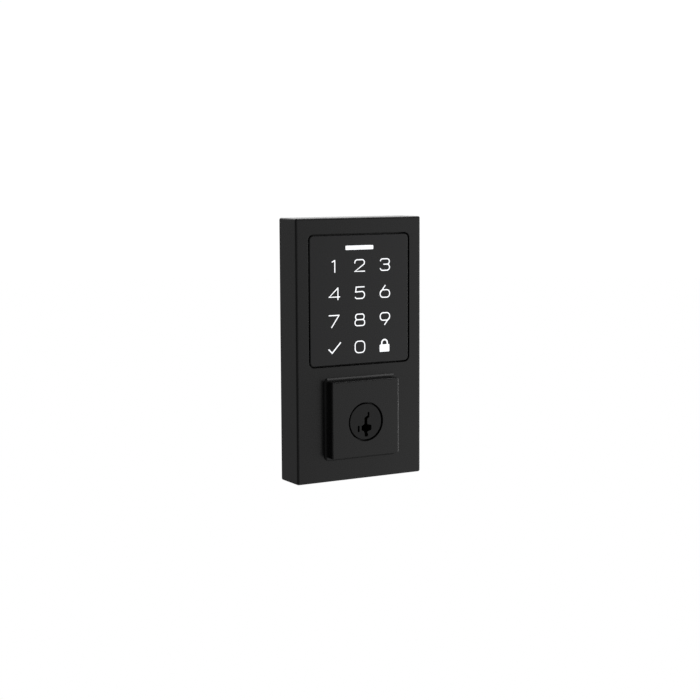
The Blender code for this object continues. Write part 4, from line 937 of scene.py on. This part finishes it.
def screw_mesh(node, shank, height):
    """A screw in its node's box, from its shank's radius and its head's height."""
    low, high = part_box(node)
    spot = (low + high) / 2
    head = (high.x - low.x) / 2
    seat = high.y - height
    crown = 0.45 * height
    head_edge = 0.1 * MM
    pitch = 0.45 * MM
    thread_start = seat - 0.4 * MM
    thread_depth = 0.16 * MM
    turns = int((seat - low.y - 0.8 * MM) / pitch)
    tip = 0.6 * shank
    recess_long = 0.52 * head  # half the length of an arm of the cross
    recess_narrow = 0.15 * head
    recess_floor = high.y - height * 0.55
    profile = [(0, high.y)]
    profile += [(head * math.sin(a), high.y - crown * (1 - math.cos(a)))
                for a in (math.pi / 2 * s / 8 for s in range(1, 9))]
    profile += [(head, seat + head_edge), (head - head_edge, seat), (shank, seat)]
    for turn in range(turns):
        y = thread_start - turn * pitch
        profile += [(shank, y), (shank - thread_depth, y - pitch / 2)]
    profile += [(shank, thread_start - turns * pitch), (tip, low.y), (0, low.y)]
    screw = lathe(profile, 32, (spot.x, spot.z))
    arms = [
        brick((spot.x - x, recess_floor, spot.z - z), (spot.x + x, high.y + PAST, spot.z + z))
        for x, z in ((recess_long, recess_narrow), (recess_narrow, recess_long))
    ]
    return combine(screw, arms)


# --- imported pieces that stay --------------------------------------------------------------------
def smoothing_group():
    """Geometry nodes that weld a mesh and shade it smooth."""
    group = bpy.data.node_groups.new("weld_and_smooth", "GeometryNodeTree")
    group.interface.new_socket("Geometry", in_out="INPUT", socket_type="NodeSocketGeometry")
    group.interface.new_socket("Geometry", in_out="OUTPUT", socket_type="NodeSocketGeometry")
    start = group.nodes.new("NodeGroupInput")
    end = group.nodes.new("NodeGroupOutput")
    weld = group.nodes.new("GeometryNodeMergeByDistance")
    weld.inputs["Distance"].default_value = WELD
    shade = group.nodes.new("GeometryNodeSetShadeSmooth")
    group.links.new(start.outputs["Geometry"], weld.inputs["Geometry"])
    group.links.new(weld.outputs["Geometry"], shade.inputs["Geometry"])
    group.links.new(shade.outputs["Geometry"], end.inputs["Geometry"])
    return group


SMOOTHING = smoothing_group()


def dress(node, look, edge=0.06 * MM):
    """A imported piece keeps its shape, and gets small edge rounds and its look."""
    obj = NODES[node]
    obj.data.materials.clear()
    obj.data.materials.append(look)
    obj.modifiers.new("smooth", "NODES").node_group = SMOOTHING
    flats = obj.modifiers.new("merge_flats", "DECIMATE")
    flats.decimate_type = "DISSOLVE"
    flats.angle_limit = FLAT_ANGLE
    bevel = obj.modifiers.new("edges", "BEVEL")
    bevel.width = edge
    bevel.segments = 2
    bevel.limit_method = "ANGLE"
    bevel.angle_limit = SMOOTH_ANGLE
    bevel.harden_normals = False
    obj.modifiers.new("flats", "WEIGHTED_NORMAL")


def dress_inner_pieces():
    dress("keypad_board", BOARD)
    dress("controller_chip", CHIP)
    dress("buzzer", CHIP)
    dress("cable_header", HEADER)
    dress("board_carrier", CARRIER, 0.10 * MM)
    dress("panel_seal", RUBBER)
    dress("light_guide", CLEAR)
    dress("spring_cover", STEEL)
    dress("side_bar", BRASS, 0.10 * MM)
    dress("status_light", GLOW)
    for number in range(1, 9):
        dress(f"key_light_{number}", GLOW)
    for number in range(1, 6):
        dress(f"pin_{number}", BRASS, 0.03 * MM)
        dress(f"wafer_{number}", STEEL, 0.03 * MM)


# --- light, floor and camera --------------------------------------------------------------------
def make_light():
    """A soft tent: each patch is a direction, its strength, and where it starts and ends in degrees."""
    world = bpy.data.worlds.new("tent")
    bpy.context.scene.world = world
    world.use_nodes = True
    world.cycles_visibility.camera = False
    tree = world.node_tree
    background = tree.nodes["Background"]
    background.inputs["Color"].default_value = (1.0, 1.0, 1.0, 1.0)
    direction = add_node(tree, "ShaderNodeTexCoord").outputs["Generated"]
    level = add_node(tree, "ShaderNodeValue").outputs["Value"]
    level.default_value = 0.09  # the light from everywhere else
    patches = (
        ((0.40, 0.83, 0.38), 1.30, 22, 44),  # high behind
        ((0.494, 0.18, 0.84), 2.6, 6, 26),  # soft box overhead, towards the back
        ((0.97, 0.22, -0.09), 3.6, 0, 26),  # strip on the right, a little behind
        ((0.84, -0.54, -0.10), 0.84, 0, 42),  # soft box in front, on the right
        ((-0.10, -0.98, 0.20), 0.26, 0, 36),  # fill from straight ahead
        ((-0.80, 0.58, 0.05), 0.20, 0, 50),  # faint wall behind, on the left
        ((0.30, -0.40, -0.87), 0.30, 10, 50),  # light off the floor
    )
    for aim, strength, inner, outer in patches:
        dot = add_node(
            tree, "ShaderNodeVectorMath", {0: direction, 1: Vector(aim).normalized()}, operation="DOT_PRODUCT"
        ).outputs["Value"]
        patch = add_node(
            tree,
            "ShaderNodeMapRange",
            {
                "Value": dot,
                "From Min": math.cos(math.radians(outer)),
                "From Max": math.cos(math.radians(inner)),
                "To Min": 0.0,
                "To Max": strength,
            },
            interpolation_type="SMOOTHSTEP",
        ).outputs["Result"]
        level = add_node(tree, "ShaderNodeMath", {0: level, 1: patch}, operation="ADD").outputs["Value"]
    tree.links.new(level, background.inputs["Strength"])


def plain_stage(name, mesh, strength):
    """A white surface that only the camera sees, so that it lights nothing."""
    look = bpy.data.materials.new(name)
    look.use_nodes = True
    shader = look.node_tree.nodes["Principled BSDF"]
    shader.inputs["Base Color"].default_value = (0.0, 0.0, 0.0, 1.0)
    shader.inputs["Roughness"].default_value = 0.9
    shader.inputs["Specular IOR Level"].default_value = 0.0
    shader.inputs["Emission Color"].default_value = (1.0, 1.0, 1.0, 1.0)
    shader.inputs["Emission Strength"].default_value = strength
    obj = bpy.data.objects.new(name, mesh)
    bpy.context.scene.collection.objects.link(obj)
    mesh.materials.append(look)
    obj.visible_diffuse = False
    obj.visible_glossy = False
    obj.visible_transmission = False
    obj.visible_shadow = False


def make_stage():
    reach = 3.0
    floor_place = Matrix.Translation((0, 0, CAD_LOW.z - 0.10))
    shape = bmesh.new()
    bmesh.ops.create_uvsphere(shape, u_segments=48, v_segments=24, radius=reach)
    plain_stage("backdrop", to_mesh(shape), 1.02)
    shape = bmesh.new()
    bmesh.ops.create_circle(shape, cap_ends=True, segments=64, radius=0.99 * reach, matrix=floor_place)
    plain_stage("floor", to_mesh(shape), 1.0)


def make_camera():
    place = (-0.3649, -0.6452, 0.0838)
    turn, tilt, roll = 29.77, 6.61, -0.26  # degrees
    data = bpy.data.cameras.new("camera")
    data.lens = 78.49
    data.sensor_width = 36.0
    data.clip_start = 0.05
    data.clip_end = 20.0
    camera = bpy.data.objects.new("camera", data)
    bpy.context.scene.collection.objects.link(camera)
    camera.matrix_world = (
        Matrix.Translation(place)
        @ Matrix.Rotation(math.radians(-turn), 4, "Z")
        @ Matrix.Rotation(math.radians(90 - tilt), 4, "X")
        @ Matrix.Rotation(math.radians(roll), 4, "Z")
    )
    bpy.context.scene.camera = camera
    bpy.context.scene.view_settings.view_transform = "Standard"


make_camera()
make_light()
make_stage()
make_housing()
make_panel()
make_legend()
make_guard()
make_plug()
make_cylinder_body()
make_retainer()
make_tailpiece()
make_springs()
make_back_plate()
make_gasket()
make_grommet()
make_posts()
make_screws()
dress_inner_pieces()
